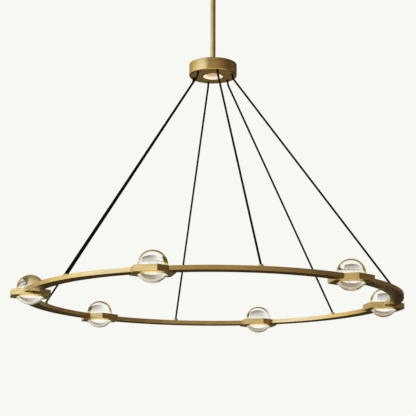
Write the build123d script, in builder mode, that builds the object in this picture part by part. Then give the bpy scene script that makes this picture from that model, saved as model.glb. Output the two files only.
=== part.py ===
from build123d import *
import os
from math import asin, atan2, cos, degrees, radians, sin, sqrt, tan

# Ring chandelier: round crystals in hexagonal brass settings on a flat ring, hung by black cords
# from a round hub with a downlight. The hub hangs on a stem from a ceiling canopy, through a
# hang-straight swivel that turns and tilts.
# Millimetres, +Z up. The origin lies on the ceiling, at the middle of the crossbar's top face.
# The lights stand at 0, 60, 120 ... degrees about Z, and the cords half way between them.

os.makedirs("parts", exist_ok=True)

# Driving dimensions: layout and fits
light_count = 6
ring_radius = 553.0  # axis to the middle of the crystals, and of the ferrules
ring_drop = 717.6  # underside of the hub down to the settings' mid-plane
fit_gap = 0.1  # all round a piece that is fitted into another
joint_gap = 0.4  # between faces that turn past each other
seat_gap = 0.3  # between a piece and the opening that it stands in

# Crossbar, nipples and nuts
crossbar_length = 112.0
crossbar_width = 22.0
crossbar_thickness = 3.0
slot_spacing = 88.9
slot_length = 14.0
slot_width = 5.2
thread_d = 10.0  # outside of the nipples, and of the stub on the swivel fitting
wire_bore = 6.5  # passage for the leads through nipples and fittings
nut_across_flats = 16.0
nut_height = 5.0

# Canopy, its collar and the driver that lies in it
canopy_d = 148.0
canopy_height = 30.0
canopy_wall = 1.6
canopy_edge = 1.0
collar_d = 26.0
collar_height = 7.0
collar_groove = 1.0
driver_length = 92.0
driver_width = 34.0
driver_height = 19.0
driver_corner = 4.0
driver_edge = 1.0
driver_inset = 22.0  # canopy's outside to the driver's far side

# Hang-straight swivel
yoke_d = 28.0
yoke_crown = 9.0  # solid top of the yoke, which takes the nipple's thread
yoke_edge = 1.2
cheek_radius = 11.0  # rounded ends of the yoke's cheeks, about the tilt axis
tongue_width = 17.6
tongue_radius = 9.0  # rounded top of the fitting's tongue, about the tilt axis
tongue_length = 13.0  # tilt axis down to the fitting's flange
flange_d = 22.0
flange_height = 8.0
trunnion_d = 6.0
trunnion_reach = 5.0  # how far each trunnion screw goes into the tongue
trunnion_head_d = 10.0
trunnion_head_height = 2.4

# Stem
stem_d = 16.0
stem_bore = 12.5
stem_length = 304.0
stem_end = 20.0  # thicker-walled ends, bored for the threads
stub_length = 15.0  # thread that goes into each end

# Hub
hub_d = 151.0
hub_height = 38.0
hub_wall = 3.0
hub_top = 4.0
hub_edge = 0.8
hub_chamfer = 1.6  # lower outer edge
plate_recess = 0.5  # the underside plate lies this far up inside the rim
plate_thickness = 3.0
post_count = 3
post_radius = 50.0
post_d = 9.0
plate_screw_d = 4.0
plate_screw_head_d = 8.0
plate_screw_length = 14.0

# Downlight in the hub
mouth_d = 61.0
mouth_lip = 1.5  # the reflector's rim stands this far out under the plate
throat_d = 35.0
reflector_wall = 1.5
reflector_depth = 13.0
reflector_flange = 5.0  # how far the flange reaches past the reflector's wall
lens_d = 42.0
lens_thickness = 2.0
board_thickness = 1.6
sink_d = 54.0
sink_base = 3.0
fin_count = 5
fin_pitch = 8.0
fin_thickness = 2.0
fin_height = 8.0
nut_clearing = 26.0  # round clearing in the fins, under the lock nut
sink_screw_count = 2
sink_screw_d = 2.5
sink_screw_head_d = 4.6
sink_screw_length = 7.0

# Cords, and the grips and ferrules that hold them
cord_d = 6.2
cord_inset = 9.5  # hub's inner wall to the middle of the cords
cord_drop = 9.5  # hub's underside down to the bend's corner
cord_tail_hub = 13.0  # cord above the underside plate's lower face
cord_aim = 6.0  # ring's top face up to where a cord's line crosses its ferrule's axis
cord_tail_ring = 4.0  # cord past that crossing
grip_neck_d = 9.8
grip_flange_d = 14.8
grip_flange_height = 2.0
grip_height = 12.0
ferrule_d = 14.0
ferrule_height = 8.0
ferrule_edge = 1.2
ferrule_neck_d = 8.0
ferrule_neck_length = 5.5
ferrule_nut_flats = 12.0
ferrule_nut_height = 3.0

# Ring bar, a hollow rectangular section
bar_width = 41.0
bar_height = 12.5
bar_wall = 2.0
bar_edge = 0.4

# Lights: settings, crystals and what lies in the settings' bores
setting_flats = 114.0
setting_height = 18.0
setting_edge = 0.6
dome_r = 41.5  # crystal's upper dome
dome_rise = 15.5  # settings' mid-plane up to the upper dome's centre
bowl_r = 46.0  # crystal's lower dome
bowl_rise = 13.9  # settings' mid-plane up to the lower dome's centre
lip_height = 3.0
skirt_height = 2.0  # conical collar under the setting, round the crystal's lower dome
skirt_margin = 5.0  # the setting's flats to the collar's upper edge
skirt_rim = 1.2  # the collar's flat lower rim
gasket_height = 2.0
bezel_height = 3.0
bezel_ledge = 1.1  # how far the bezel reaches past the bore
led_gap = 0.6  # crystal's shoulder to the LED ring
led_thickness = 2.0
spigot_length = 18.0  # past the setting's corner, inside the bar
arc_screw_d = 3.0
arc_screw_head_d = 5.4
arc_screw_length = 5.0
lead_bore = 3.5  # passage for the leads through the spigots
lead_drop = 1.6  # the passage lies this far under the bar's middle, clear of the screws

# Levels and angles that follow from them
light_pitch = 360 / light_count
cord_angle = light_pitch / 2
thread_bore_r = thread_d / 2 + fit_gap
collar_floor = -canopy_height - collar_height
yoke_top = collar_floor - joint_gap
crotch = yoke_top - yoke_crown
pivot_z = crotch - joint_gap - tongue_radius
flange_top = pivot_z - tongue_length
stem_top = flange_top - flange_height
hub_ceiling = stem_top - stem_length
hub_floor = hub_ceiling - hub_height
ring_z = hub_floor - ring_drop
plate_bottom = hub_floor + plate_recess
plate_top = plate_bottom + plate_thickness
lens_floor = plate_bottom + reflector_depth
board_floor = lens_floor + lens_thickness
sink_floor = board_floor + board_thickness
sink_top = sink_floor + sink_base
sink_screw_radius = (lens_d + sink_d) / 4  # middle of the cup's wall
hub_inside_top = hub_ceiling - hub_top
cord_exit_radius = hub_d / 2 - hub_wall - cord_inset
setting_corner = setting_flats / sqrt(3)
setting_top = setting_height / 2
setting_floor = -setting_height / 2
bar_radius = sqrt(ring_radius**2 + setting_corner**2)  # the bar's middle meets the settings' corners
bar_top = ring_z + setting_top  # level with the settings' top faces
bar_z = bar_top - bar_height / 2
cord_fall = hub_floor - cord_drop - bar_top - cord_aim
cord_slant = atan2(ring_radius - cord_exit_radius, cord_fall)
skirt_floor = setting_floor - skirt_height
lip_top = setting_floor + lip_height
gasket_top = lip_top + gasket_height
bezel_floor = setting_top - bezel_height
shoulder_r = sqrt(bowl_r**2 - (bezel_floor - bowl_rise) ** 2)  # crystal under the bezel
waist_r = sqrt(dome_r**2 - (bezel_floor - dome_rise) ** 2)  # upper dome where it meets that shoulder
bore_r = shoulder_r + led_gap + led_thickness + fit_gap
bezel_r = bore_r + bezel_ledge
spigot_angle = degrees((setting_corner + spigot_length) / bar_radius)
arc_screw_angle = degrees((setting_corner + spigot_length / 2) / bar_radius)

# Planes that several pieces share
ring_plane = Plane.XY.offset(ring_z)
light_plane = Plane((ring_radius, 0, ring_z))
light_section = Plane((ring_radius, 0, ring_z), x_dir=(1, 0, 0), z_dir=(0, -1, 0))
light_axis = Axis((ring_radius, 0, ring_z), (0, 0, 1))
pivot_side = Plane((0, 0, pivot_z), x_dir=(0, 1, 0), z_dir=(1, 0, 0))


def upright_plane(angle):
    """Plane through the Z axis at an angle about it: local x points outwards, local y up."""
    outward = (cos(radians(angle)), sin(radians(angle)), 0)
    return Plane((0, 0, 0), x_dir=outward, z_dir=(outward[1], -outward[0], 0))


def bowl_girth(height):
    """Radius of the crystal's lower dome at a height over the settings' mid-plane."""
    return sqrt(bowl_r**2 - (height - bowl_rise) ** 2)


def bend_radii(points):
    """Radius of the arc at each inner point of a route: as large as its shorter run lets it be."""
    radii = []
    for before, corner, after in zip(points, points[1:], points[2:]):
        arriving = Vector(*corner) - Vector(*before)
        leaving = Vector(*after) - Vector(*corner)
        half_turn = radians(arriving.get_angle(leaving)) / 2
        radii.append(0.45 * min(arriving.length, leaving.length) / tan(half_turn))
    return radii


# Crossbar, screwed to the outlet box through its two slots
with BuildPart() as crossbar:
    with BuildSketch() as strap:
        SlotOverall(crossbar_length, crossbar_width)
        with GridLocations(slot_spacing, 0, 2, 1):
            SlotOverall(slot_length, slot_width, mode=Mode.SUBTRACT)
        Circle(thread_bore_r, mode=Mode.SUBTRACT)
    extrude(amount=-crossbar_thickness)

# Threaded nipple that carries the canopy's collar and the swivel
with BuildPart() as crossbar_nipple:
    with BuildSketch() as nipple_section:
        Circle(thread_d / 2)
        Circle(wire_bore / 2, mode=Mode.SUBTRACT)
    extrude(amount=crotch)

# Nut that locks the nipple under the crossbar
with BuildPart() as crossbar_nut:
    with BuildSketch(Plane.XY.offset(-crossbar_thickness)) as nut_section:
        RegularPolygon(nut_across_flats / 2, 6, major_radius=False)
        Circle(thread_bore_r, mode=Mode.SUBTRACT)
    extrude(amount=-nut_height)

# Canopy, a drawn cup whose rim meets the ceiling
with BuildPart() as canopy:
    with BuildSketch() as canopy_outline:
        Circle(canopy_d / 2)
    extrude(amount=-canopy_height)
    fillet(canopy.faces().sort_by(Axis.Z)[0].edges(), canopy_edge)
    with BuildSketch() as canopy_inside:
        Circle(canopy_d / 2 - canopy_wall)
    extrude(amount=canopy_wall - canopy_height, mode=Mode.SUBTRACT)
    with BuildSketch() as canopy_hole:
        Circle(thread_d / 2 + seat_gap)
    extrude(amount=-canopy_height, mode=Mode.SUBTRACT)

# Turned collar that screws up the nipple and holds the canopy to the ceiling
with BuildPart() as canopy_collar:
    with BuildSketch(Plane.XZ) as collar_profile:
        with BuildLine() as collar_outline:
            Polyline(
                (thread_bore_r, -canopy_height),
                (collar_d / 2, -canopy_height),
                (collar_d / 2, collar_floor + collar_height / 2 + collar_groove),
                (collar_d / 2 - collar_groove, collar_floor + collar_height / 2),
                (collar_d / 2, collar_floor + collar_height / 2 - collar_groove),
                (collar_d / 2, collar_floor + collar_groove),
                (collar_d / 2 - collar_groove, collar_floor),
                (thread_bore_r, collar_floor),
                close=True,
            )
        make_face()
    revolve(axis=Axis.Z)

# LED driver, lying on the canopy's floor beside the nipple
with BuildPart() as led_driver:
    with BuildSketch(Plane.XY.offset(canopy_wall - canopy_height)) as driver_outline:
        with Locations((0, canopy_d / 2 - driver_inset - driver_width / 2)):
            RectangleRounded(driver_length, driver_width, driver_corner)
    extrude(amount=driver_height)
    chamfer(led_driver.faces().sort_by(Axis.Z)[-1].edges(), driver_edge)

# Yoke of the swivel: turns on the nipple, and its two cheeks hold the fitting between them
with BuildPart() as swivel_yoke:
    with BuildSketch(Plane.XY.offset(yoke_top)) as yoke_section:
        Circle(yoke_d / 2)
    extrude(amount=pivot_z - cheek_radius - yoke_top)
    chamfer(swivel_yoke.faces().sort_by(Axis.Z)[-1].edges(), yoke_edge)
    with BuildSketch(pivot_side) as cheek_outline:
        Circle(cheek_radius)
        with Locations((0, (yoke_top - pivot_z) / 2)):
            Rectangle(2 * cheek_radius, yoke_top - pivot_z)
        with Locations((0, (yoke_top + crotch) / 2 - pivot_z)):
            Rectangle(yoke_d, yoke_crown)
    extrude(amount=yoke_d / 2, both=True, mode=Mode.INTERSECT)
    with BuildSketch(Plane.XY.offset(crotch)) as yoke_slot:
        Rectangle(tongue_width + 2 * joint_gap, yoke_d)
    extrude(amount=pivot_z - cheek_radius - crotch, mode=Mode.SUBTRACT)
    with BuildSketch(Plane.XY.offset(yoke_top)) as yoke_thread:
        Circle(thread_bore_r)
    extrude(amount=-yoke_crown, mode=Mode.SUBTRACT)
    with BuildSketch(pivot_side) as trunnion_holes:
        Circle(trunnion_d / 2 + fit_gap / 2)
    extrude(amount=yoke_d, both=True, mode=Mode.SUBTRACT)

# Two shoulder screws through the cheeks, on which the fitting tilts
with BuildPart() as trunnion_screws:
    for side in (-1, 1):
        with BuildSketch(pivot_side.offset(side * (tongue_width / 2 - trunnion_reach))) as shank:
            Circle(trunnion_d / 2)
        extrude(amount=side * (yoke_d / 2 - tongue_width / 2 + trunnion_reach))
        with BuildSketch(pivot_side.offset(side * yoke_d / 2)) as head:
            Circle(trunnion_head_d / 2)
        extrude(amount=side * trunnion_head_height)

# Fitting on the stem's top: tongue between the cheeks, flange on the stem, stub in the stem
with BuildPart() as swivel_fitting:
    with BuildSketch(pivot_side) as tongue_outline:
        Circle(tongue_radius)
        with Locations((0, -tongue_length / 2)):
            Rectangle(2 * tongue_radius, tongue_length)
    extrude(amount=tongue_width / 2, both=True)
    with BuildSketch(Plane.XY.offset(flange_top)) as flange_outline:
        Circle(flange_d / 2)
    extrude(amount=-flange_height)
    chamfer(swivel_fitting.faces().sort_by(Axis.Z)[0].edges(), (flange_d - stem_d) / 4)
    with BuildSketch(Plane.XY.offset(stem_top)) as stub_outline:
        Circle(thread_d / 2)
    extrude(amount=-stub_length)
    with BuildSketch(Plane.XY.offset(stem_top - stub_length)) as fitting_passage:
        Circle(wire_bore / 2)
    extrude(amount=pivot_z + tongue_radius - stem_top + stub_length, mode=Mode.SUBTRACT)
    with BuildSketch(pivot_side) as pivot_holes:
        Circle(trunnion_d / 2 + fit_gap)
    extrude(amount=tongue_width, both=True, mode=Mode.SUBTRACT)

# Stem, a tube with thicker-walled ends
with BuildPart() as stem:
    with BuildSketch(Plane.XY.offset(hub_ceiling)) as stem_section:
        Circle(stem_d / 2)
        Circle(thread_bore_r, mode=Mode.SUBTRACT)
    extrude(amount=stem_length)
    with BuildSketch(Plane.XY.offset(hub_ceiling + stem_end)) as stem_inside:
        Circle(stem_bore / 2)
    extrude(amount=stem_length - 2 * stem_end, mode=Mode.SUBTRACT)

# Nipple between stem and hub, and the nut on it inside the hub
with BuildPart() as stem_nipple:
    with BuildSketch(Plane.XY.offset(hub_inside_top - nut_height)) as stem_nipple_section:
        Circle(thread_d / 2)
        Circle(wire_bore / 2, mode=Mode.SUBTRACT)
    extrude(amount=nut_height + hub_top + stub_length)

with BuildPart() as hub_nut:
    with BuildSketch(Plane.XY.offset(hub_inside_top)) as hub_nut_section:
        RegularPolygon(nut_across_flats / 2, 6, major_radius=False)
        Circle(thread_bore_r, mode=Mode.SUBTRACT)
    extrude(amount=-nut_height)

# Hub housing, a drum open below, with posts for the underside plate
with BuildPart() as hub_housing:
    with BuildSketch(Plane.XY.offset(hub_floor)) as drum:
        Circle(hub_d / 2)
    extrude(amount=hub_height)
    fillet(hub_housing.faces().sort_by(Axis.Z)[-1].edges(), hub_edge)
    chamfer(hub_housing.faces().sort_by(Axis.Z)[0].edges(), hub_chamfer)
    with BuildSketch(Plane.XY.offset(hub_floor)) as drum_inside:
        Circle(hub_d / 2 - hub_wall)
    extrude(amount=hub_height - hub_top, mode=Mode.SUBTRACT)
    with BuildSketch(Plane.XY.offset(plate_top)) as posts:
        with PolarLocations(post_radius, post_count):
            Circle(post_d / 2)
    extrude(amount=hub_inside_top - plate_top)
    with BuildSketch(Plane.XY.offset(plate_top)) as post_holes:
        with PolarLocations(post_radius, post_count):
            Circle(plate_screw_d / 2 + fit_gap)
    extrude(amount=plate_screw_length, mode=Mode.SUBTRACT)
    with BuildSketch(Plane.XY.offset(hub_inside_top)) as stem_hole:
        Circle(thread_bore_r)
    extrude(amount=hub_top, mode=Mode.SUBTRACT)

# Underside plate with the downlight's opening, the cords' holes and countersunk screw holes
with BuildPart(Plane.XY.offset(plate_bottom)) as hub_plate:
    with BuildSketch(Plane.XY.offset(plate_bottom)) as plate_outline:
        Circle(hub_d / 2 - hub_wall - seat_gap)
        Circle(mouth_d / 2 + reflector_wall + seat_gap, mode=Mode.SUBTRACT)
        with PolarLocations(cord_exit_radius, light_count, start_angle=cord_angle):
            Circle(grip_neck_d / 2 + fit_gap, mode=Mode.SUBTRACT)
        with PolarLocations(post_radius, post_count):
            Circle(plate_screw_d / 2 + fit_gap, mode=Mode.SUBTRACT)
    extrude(amount=plate_thickness)
    with PolarLocations(post_radius, post_count):
        Cone(
            plate_screw_head_d / 2 + fit_gap,
            plate_screw_d / 2 + fit_gap,
            (plate_screw_head_d - plate_screw_d) / 2,
            align=(Align.CENTER, Align.CENTER, Align.MIN),
            mode=Mode.SUBTRACT,
        )

# Countersunk screws that hold the plate to the posts
with BuildPart(Plane.XY.offset(plate_bottom)) as plate_screws:
    with PolarLocations(post_radius, post_count):
        Cylinder(plate_screw_d / 2, plate_screw_length, align=(Align.CENTER, Align.CENTER, Align.MIN))
        Cone(
            plate_screw_head_d / 2,
            plate_screw_d / 2,
            (plate_screw_head_d - plate_screw_d) / 2,
            align=(Align.CENTER, Align.CENTER, Align.MIN),
        )

# Reflector, a cone with a flange on the plate and a cup on top for the lens and the LED board
with BuildPart() as downlight_reflector:
    with BuildSketch(Plane.XZ) as reflector_profile:
        with BuildLine() as reflector_outline:
            Polyline(
                (mouth_d / 2, plate_bottom - mouth_lip),
                (mouth_d / 2 + reflector_wall, plate_bottom - mouth_lip),
                (mouth_d / 2 + reflector_wall, plate_top),
                (mouth_d / 2 + reflector_wall + reflector_flange, plate_top),
                (mouth_d / 2 + reflector_wall + reflector_flange, plate_top + reflector_wall),
                (mouth_d / 2, plate_top + reflector_wall),
                (sink_d / 2, lens_floor - reflector_wall),
                (sink_d / 2, sink_floor),
                (lens_d / 2 + fit_gap, sink_floor),
                (lens_d / 2 + fit_gap, lens_floor),
                (throat_d / 2, lens_floor),
                close=True,
            )
        make_face()
    revolve(axis=Axis.Z)
    with BuildSketch(Plane.XY.offset(sink_floor)) as cup_screw_holes:
        with PolarLocations(sink_screw_radius, sink_screw_count, start_angle=90):
            Circle(sink_screw_d / 2 + fit_gap)
    extrude(amount=sink_base - sink_screw_length, mode=Mode.SUBTRACT)

with BuildPart() as downlight_lens:
    with BuildSketch(Plane.XY.offset(lens_floor)) as lens_outline:
        Circle(lens_d / 2)
    extrude(amount=lens_thickness)

with BuildPart() as downlight_led_board:
    with BuildSketch(Plane.XY.offset(board_floor)) as board_outline:
        Circle(lens_d / 2)
    extrude(amount=board_thickness)

# Heat sink on the cup, with straight fins that are cleared under the stem's nut
with BuildPart() as downlight_heat_sink:
    with BuildSketch(Plane.XY.offset(sink_floor)) as sink_outline:
        Circle(sink_d / 2)
        with PolarLocations(sink_screw_radius, sink_screw_count, start_angle=90):
            Circle(sink_screw_d / 2 + fit_gap, mode=Mode.SUBTRACT)
    extrude(amount=sink_base)
    with BuildSketch(Plane.XY.offset(sink_top)) as fins:
        with GridLocations(0, fin_pitch, 1, fin_count):
            Rectangle(sink_d, fin_thickness)
        Circle(sink_d / 2, mode=Mode.INTERSECT)
        Circle(nut_clearing / 2, mode=Mode.SUBTRACT)
    extrude(amount=fin_height)

with BuildPart() as heat_sink_screws:
    with BuildSketch(Plane.XY.offset(sink_top)) as sink_screw_shanks:
        with PolarLocations(sink_screw_radius, sink_screw_count, start_angle=90):
            Circle(sink_screw_d / 2)
    extrude(amount=-sink_screw_length)
    with BuildSketch(Plane.XY.offset(sink_top)) as sink_screw_heads:
        with PolarLocations(sink_screw_radius, sink_screw_count, start_angle=90):
            Circle(sink_screw_head_d / 2)
    extrude(amount=sink_screw_d)

# Grips that hold the cords in the underside plate: neck in the plate, flange and sleeve above it
with BuildPart() as hub_cord_grips:
    with BuildSketch(Plane.XY.offset(plate_bottom)) as grip_necks:
        with PolarLocations(cord_exit_radius, light_count, start_angle=cord_angle):
            Circle(grip_neck_d / 2)
    extrude(amount=grip_height)
    with BuildSketch(Plane.XY.offset(plate_top)) as grip_flanges:
        with PolarLocations(cord_exit_radius, light_count, start_angle=cord_angle):
            Circle(grip_flange_d / 2)
    extrude(amount=grip_flange_height)
    with BuildSketch(Plane.XY.offset(plate_bottom)) as grip_bores:
        with PolarLocations(cord_exit_radius, light_count, start_angle=cord_angle):
            Circle(cord_d / 2 + fit_gap)
    extrude(amount=grip_height, mode=Mode.SUBTRACT)

# Cord: straight down out of its grip, then one taut slanting run into its ferrule
cord_end = (
    ring_radius + cord_tail_ring * sin(cord_slant),
    bar_top + cord_aim - cord_tail_ring * cos(cord_slant),
)
cord_route = [
    (cord_exit_radius, plate_bottom + cord_tail_hub),
    (cord_exit_radius, hub_floor - cord_drop),
    cord_end,
]
cord_bends = bend_radii(cord_route)
with BuildPart() as cord:
    with BuildLine(Plane.XZ) as cord_line:
        FilletPolyline(*cord_route, radius=cord_bends)
    with BuildSketch(Plane(cord_line.line @ 0, z_dir=cord_line.line % 0)) as cord_section:
        Circle(cord_d / 2)
    sweep()

# Ferrule on the ring's top face: collar with a slanting hole for the cord, and a threaded neck
# through the bar's wall
with BuildPart() as ring_ferrule:
    with BuildSketch(Plane.XY.offset(bar_top)) as ferrule_collar:
        with Locations((ring_radius, 0)):
            Circle(ferrule_d / 2)
    extrude(amount=ferrule_height)
    chamfer(ring_ferrule.faces().sort_by(Axis.Z)[-1].edges(), ferrule_edge)
    with BuildSketch(Plane.XY.offset(bar_top)) as ferrule_neck:
        with Locations((ring_radius, 0)):
            Circle(ferrule_neck_d / 2)
    extrude(amount=-ferrule_neck_length)
    cord_end_plane = Plane(
        (cord_end[0], 0, cord_end[1]),
        x_dir=(0, 1, 0),
        z_dir=(-sin(cord_slant), 0, cos(cord_slant)),
    )
    with BuildSketch(cord_end_plane) as ferrule_bore:
        Circle(cord_d / 2 + fit_gap)
    extrude(amount=2 * ferrule_height, mode=Mode.SUBTRACT)

# Nuts on the ferrules' necks, inside the bar
with BuildPart() as ferrule_nuts:
    with BuildSketch(Plane.XY.offset(bar_top - bar_wall)) as ferrule_nut_section:
        with PolarLocations(ring_radius, light_count, start_angle=cord_angle):
            RegularPolygon(ferrule_nut_flats / 2, 6, major_radius=False)
            Circle(ferrule_neck_d / 2 + fit_gap, mode=Mode.SUBTRACT)
    extrude(amount=-ferrule_nut_height)

# Arc of the ring between two lights: hollow bar whose ends are coped to the settings' corners
with BuildPart() as ring_arc:
    with BuildSketch(upright_plane(-light_pitch / 2)) as bar_section:
        with Locations((bar_radius, bar_z)):
            Rectangle(bar_width, bar_height)
            chamfer(bar_section.vertices(), bar_edge)
            Rectangle(bar_width - 2 * bar_wall, bar_height - 2 * bar_wall, mode=Mode.SUBTRACT)
    revolve(axis=Axis.Z, revolution_arc=light_pitch)
    with BuildSketch(ring_plane) as coping:
        with PolarLocations(ring_radius, 2, -light_pitch / 2, light_pitch, endpoint=True):
            RegularPolygon(setting_flats / 2 + fit_gap, 6, major_radius=False, rotation=30)
    extrude(amount=setting_height, both=True, mode=Mode.SUBTRACT)
    with BuildSketch(Plane.XY.offset(bar_top - bar_wall)) as top_holes:
        with Locations((ring_radius, 0)):
            Circle(ferrule_neck_d / 2 + fit_gap)
        for side in (-1, 1):
            with PolarLocations(bar_radius, 1, side * (light_pitch / 2 - arc_screw_angle)):
                Circle(arc_screw_head_d / 2 + fit_gap)
    extrude(amount=bar_wall, mode=Mode.SUBTRACT)

# Hexagonal setting: stepped bore for the crystal, conical collar under it, and a spigot at each end
# for the arcs
with BuildPart() as light_setting:
    with BuildSketch(light_plane.offset(setting_floor)) as hexagon:
        RegularPolygon(setting_flats / 2, 6, major_radius=False, rotation=30)
    extrude(amount=setting_height)
    chamfer(light_setting.faces().sort_by(Axis.Z)[0].edges(), setting_edge)
    chamfer(light_setting.faces().sort_by(Axis.Z)[-1].edges(), setting_edge)
    with BuildSketch(light_section) as skirt_profile:
        with BuildLine() as skirt_outline:
            Polyline(
                (0, setting_floor),
                (setting_flats / 2 - skirt_margin, setting_floor),
                (bowl_girth(skirt_floor) + seat_gap + skirt_rim, skirt_floor),
                (0, skirt_floor),
                close=True,
            )
        make_face()
    revolve(axis=light_axis)
    with BuildSketch(upright_plane(-spigot_angle)) as spigot_section:
        with Locations((bar_radius, bar_z)):
            Rectangle(
                bar_width - 2 * (bar_wall + fit_gap),
                bar_height - 2 * (bar_wall + fit_gap),
            )
    revolve(axis=Axis.Z, revolution_arc=2 * spigot_angle)
    with BuildSketch(light_section) as bore_profile:
        with BuildLine() as bore_outline:
            Polyline(
                (0, skirt_floor),
                (bowl_girth(skirt_floor) + seat_gap, skirt_floor),
                (bowl_girth(setting_floor) + seat_gap, setting_floor),
                (bowl_girth(lip_top) + seat_gap, lip_top),
                (bore_r, lip_top),
                (bore_r, bezel_floor),
                (bezel_r, bezel_floor),
                (bezel_r, setting_top),
                (0, setting_top),
                close=True,
            )
        make_face()
    revolve(axis=light_axis, mode=Mode.SUBTRACT)
    with BuildSketch(Plane((ring_radius, 0, bar_z - lead_drop), z_dir=(0, 1, 0))) as leads:
        Circle(lead_bore / 2)
    extrude(amount=setting_corner + spigot_length, both=True, mode=Mode.SUBTRACT)
    with BuildSketch(Plane.XY.offset(bar_top - arc_screw_length)) as spigot_holes:
        for side in (-1, 1):
            with PolarLocations(bar_radius, 1, side * arc_screw_angle):
                Circle(arc_screw_d / 2 + fit_gap)
    extrude(amount=arc_screw_length, mode=Mode.SUBTRACT)

# Screws through the arcs' top wall into the spigots
with BuildPart() as arc_screws:
    for side in (-1, 1):
        with BuildSketch(Plane.XY.offset(bar_top - arc_screw_length)) as arc_screw_shanks:
            with PolarLocations(bar_radius, light_count, start_angle=side * arc_screw_angle):
                Circle(arc_screw_d / 2)
        extrude(amount=arc_screw_length)
        with BuildSketch(Plane.XY.offset(bar_top - bar_wall)) as arc_screw_heads:
            with PolarLocations(bar_radius, light_count, start_angle=side * arc_screw_angle):
                Circle(arc_screw_head_d / 2)
        extrude(amount=bar_wall)

# Crystal: lower dome that rests on the gasket, shoulder under the bezel, and smaller upper dome
with BuildPart() as crystal:
    with BuildSketch(light_section) as crystal_profile:
        with BuildLine() as crystal_outline:
            bowl_end = degrees(asin((bezel_floor - bowl_rise) / bowl_r))
            CenterArc((0, bowl_rise), bowl_r, -90, 90 + bowl_end)
            Line((shoulder_r, bezel_floor), (waist_r, bezel_floor))
            dome_start = degrees(asin((bezel_floor - dome_rise) / dome_r))
            CenterArc((0, dome_rise), dome_r, dome_start, 90 - dome_start)
            Line((0, dome_rise + dome_r), (0, bowl_rise - bowl_r))
        make_face()
    revolve(axis=light_axis)

# Gasket on the setting's lip, shaped to the crystal
with BuildPart() as gasket:
    with BuildSketch(light_section) as gasket_profile:
        with BuildLine() as gasket_outline:
            Polyline(
                (bowl_girth(lip_top) + fit_gap, lip_top),
                (bore_r - fit_gap, lip_top),
                (bore_r - fit_gap, gasket_top),
                (bowl_girth(gasket_top) + fit_gap, gasket_top),
                close=True,
            )
        make_face()
    revolve(axis=light_axis)

# LED ring that stands on the gasket and shines into the crystal
with BuildPart() as led_ring:
    with BuildSketch(light_plane.offset(gasket_top)) as led_section:
        Circle(bore_r - fit_gap)
        Circle(bore_r - fit_gap - led_thickness, mode=Mode.SUBTRACT)
    extrude(amount=bezel_floor - gasket_top)

# Bezel that closes the bore's top and holds the crystal down by its shoulder
with BuildPart() as bezel:
    with BuildSketch(light_plane.offset(bezel_floor)) as bezel_section:
        Circle(bezel_r - fit_gap)
        Circle(dome_r + seat_gap, mode=Mode.SUBTRACT)
    extrude(amount=bezel_height)

# Rings of one kind, one in each setting
with BuildPart() as crystal_gaskets:
    with PolarLocations(0, light_count):
        add(gasket.part)

with BuildPart() as led_rings:
    with PolarLocations(0, light_count):
        add(led_ring.part)

with BuildPart() as bezel_rings:
    with PolarLocations(0, light_count):
        add(bezel.part)

# Pieces that the chandelier has once, and groups of small ones
single_pieces = {
    "crossbar": crossbar,
    "crossbar_nipple": crossbar_nipple,
    "crossbar_nut": crossbar_nut,
    "canopy": canopy,
    "canopy_collar": canopy_collar,
    "led_driver": led_driver,
    "swivel_yoke": swivel_yoke,
    "trunnion_screws": trunnion_screws,
    "swivel_fitting": swivel_fitting,
    "stem": stem,
    "stem_nipple": stem_nipple,
    "hub_nut": hub_nut,
    "hub_housing": hub_housing,
    "hub_plate": hub_plate,
    "plate_screws": plate_screws,
    "downlight_reflector": downlight_reflector,
    "downlight_lens": downlight_lens,
    "downlight_led_board": downlight_led_board,
    "downlight_heat_sink": downlight_heat_sink,
    "heat_sink_screws": heat_sink_screws,
    "hub_cord_grips": hub_cord_grips,
    "ferrule_nuts": ferrule_nuts,
    "arc_screws": arc_screws,
    "crystal_gaskets": crystal_gaskets,
    "led_rings": led_rings,
    "bezel_rings": bezel_rings,
}
for name, piece in single_pieces.items():
    piece.part.label = name
    export_step(piece.part, f"parts/{name}.step")

# Pieces that repeat round the ring, with the angle of the first
repeated_pieces = {
    "cord": (cord, cord_angle),
    "ring_ferrule": (ring_ferrule, cord_angle),
    "ring_arc": (ring_arc, cord_angle),
    "light_setting": (light_setting, 0),
    "crystal": (crystal, 0),
}
for name, (piece, first_angle) in repeated_pieces.items():
    for index in range(light_count):
        turned = piece.part.rotate(Axis.Z, first_angle + index * light_pitch)
        turned.label = f"{name}_{index + 1}"
        export_step(turned, f"parts/{turned.label}.step")

cord_length = cord_line.wire().length
section_volume = cord_section.sketch.area * cord_length
print("cord bend radii:", ", ".join(f"{radius:.1f}" for radius in cord_bends))
print(f"cord length {cord_length:.1f}, volume {cord.part.volume:.1f}")
print(f"cord section times length {section_volume:.1f}")
print(f"settings' mid-plane at {ring_z:.2f}, bar's at {bar_z:.2f} and radius {bar_radius:.2f}")
print(f"hub underside at {hub_floor:.2f}, tilt axis at {pivot_z:.2f}")
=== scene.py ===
"""Looks of the ring chandelier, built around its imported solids.

Round crystals sit in hexagonal brass settings on a flat brass ring. Six black cords hang the ring from
a round hub with a downlight, and a stem carries the hub from a ceiling canopy through a swivel.
Metres, +Z up, origin on the ceiling. The lights stand at 0, 60, 120 ... degrees about Z, and the cords
half way between them.
"""

import logging
import math
from dataclasses import dataclass
from enum import Enum
from functools import cached_property, reduce

import bmesh
import bpy
import numpy as np
from mathutils import Matrix, Vector


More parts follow.
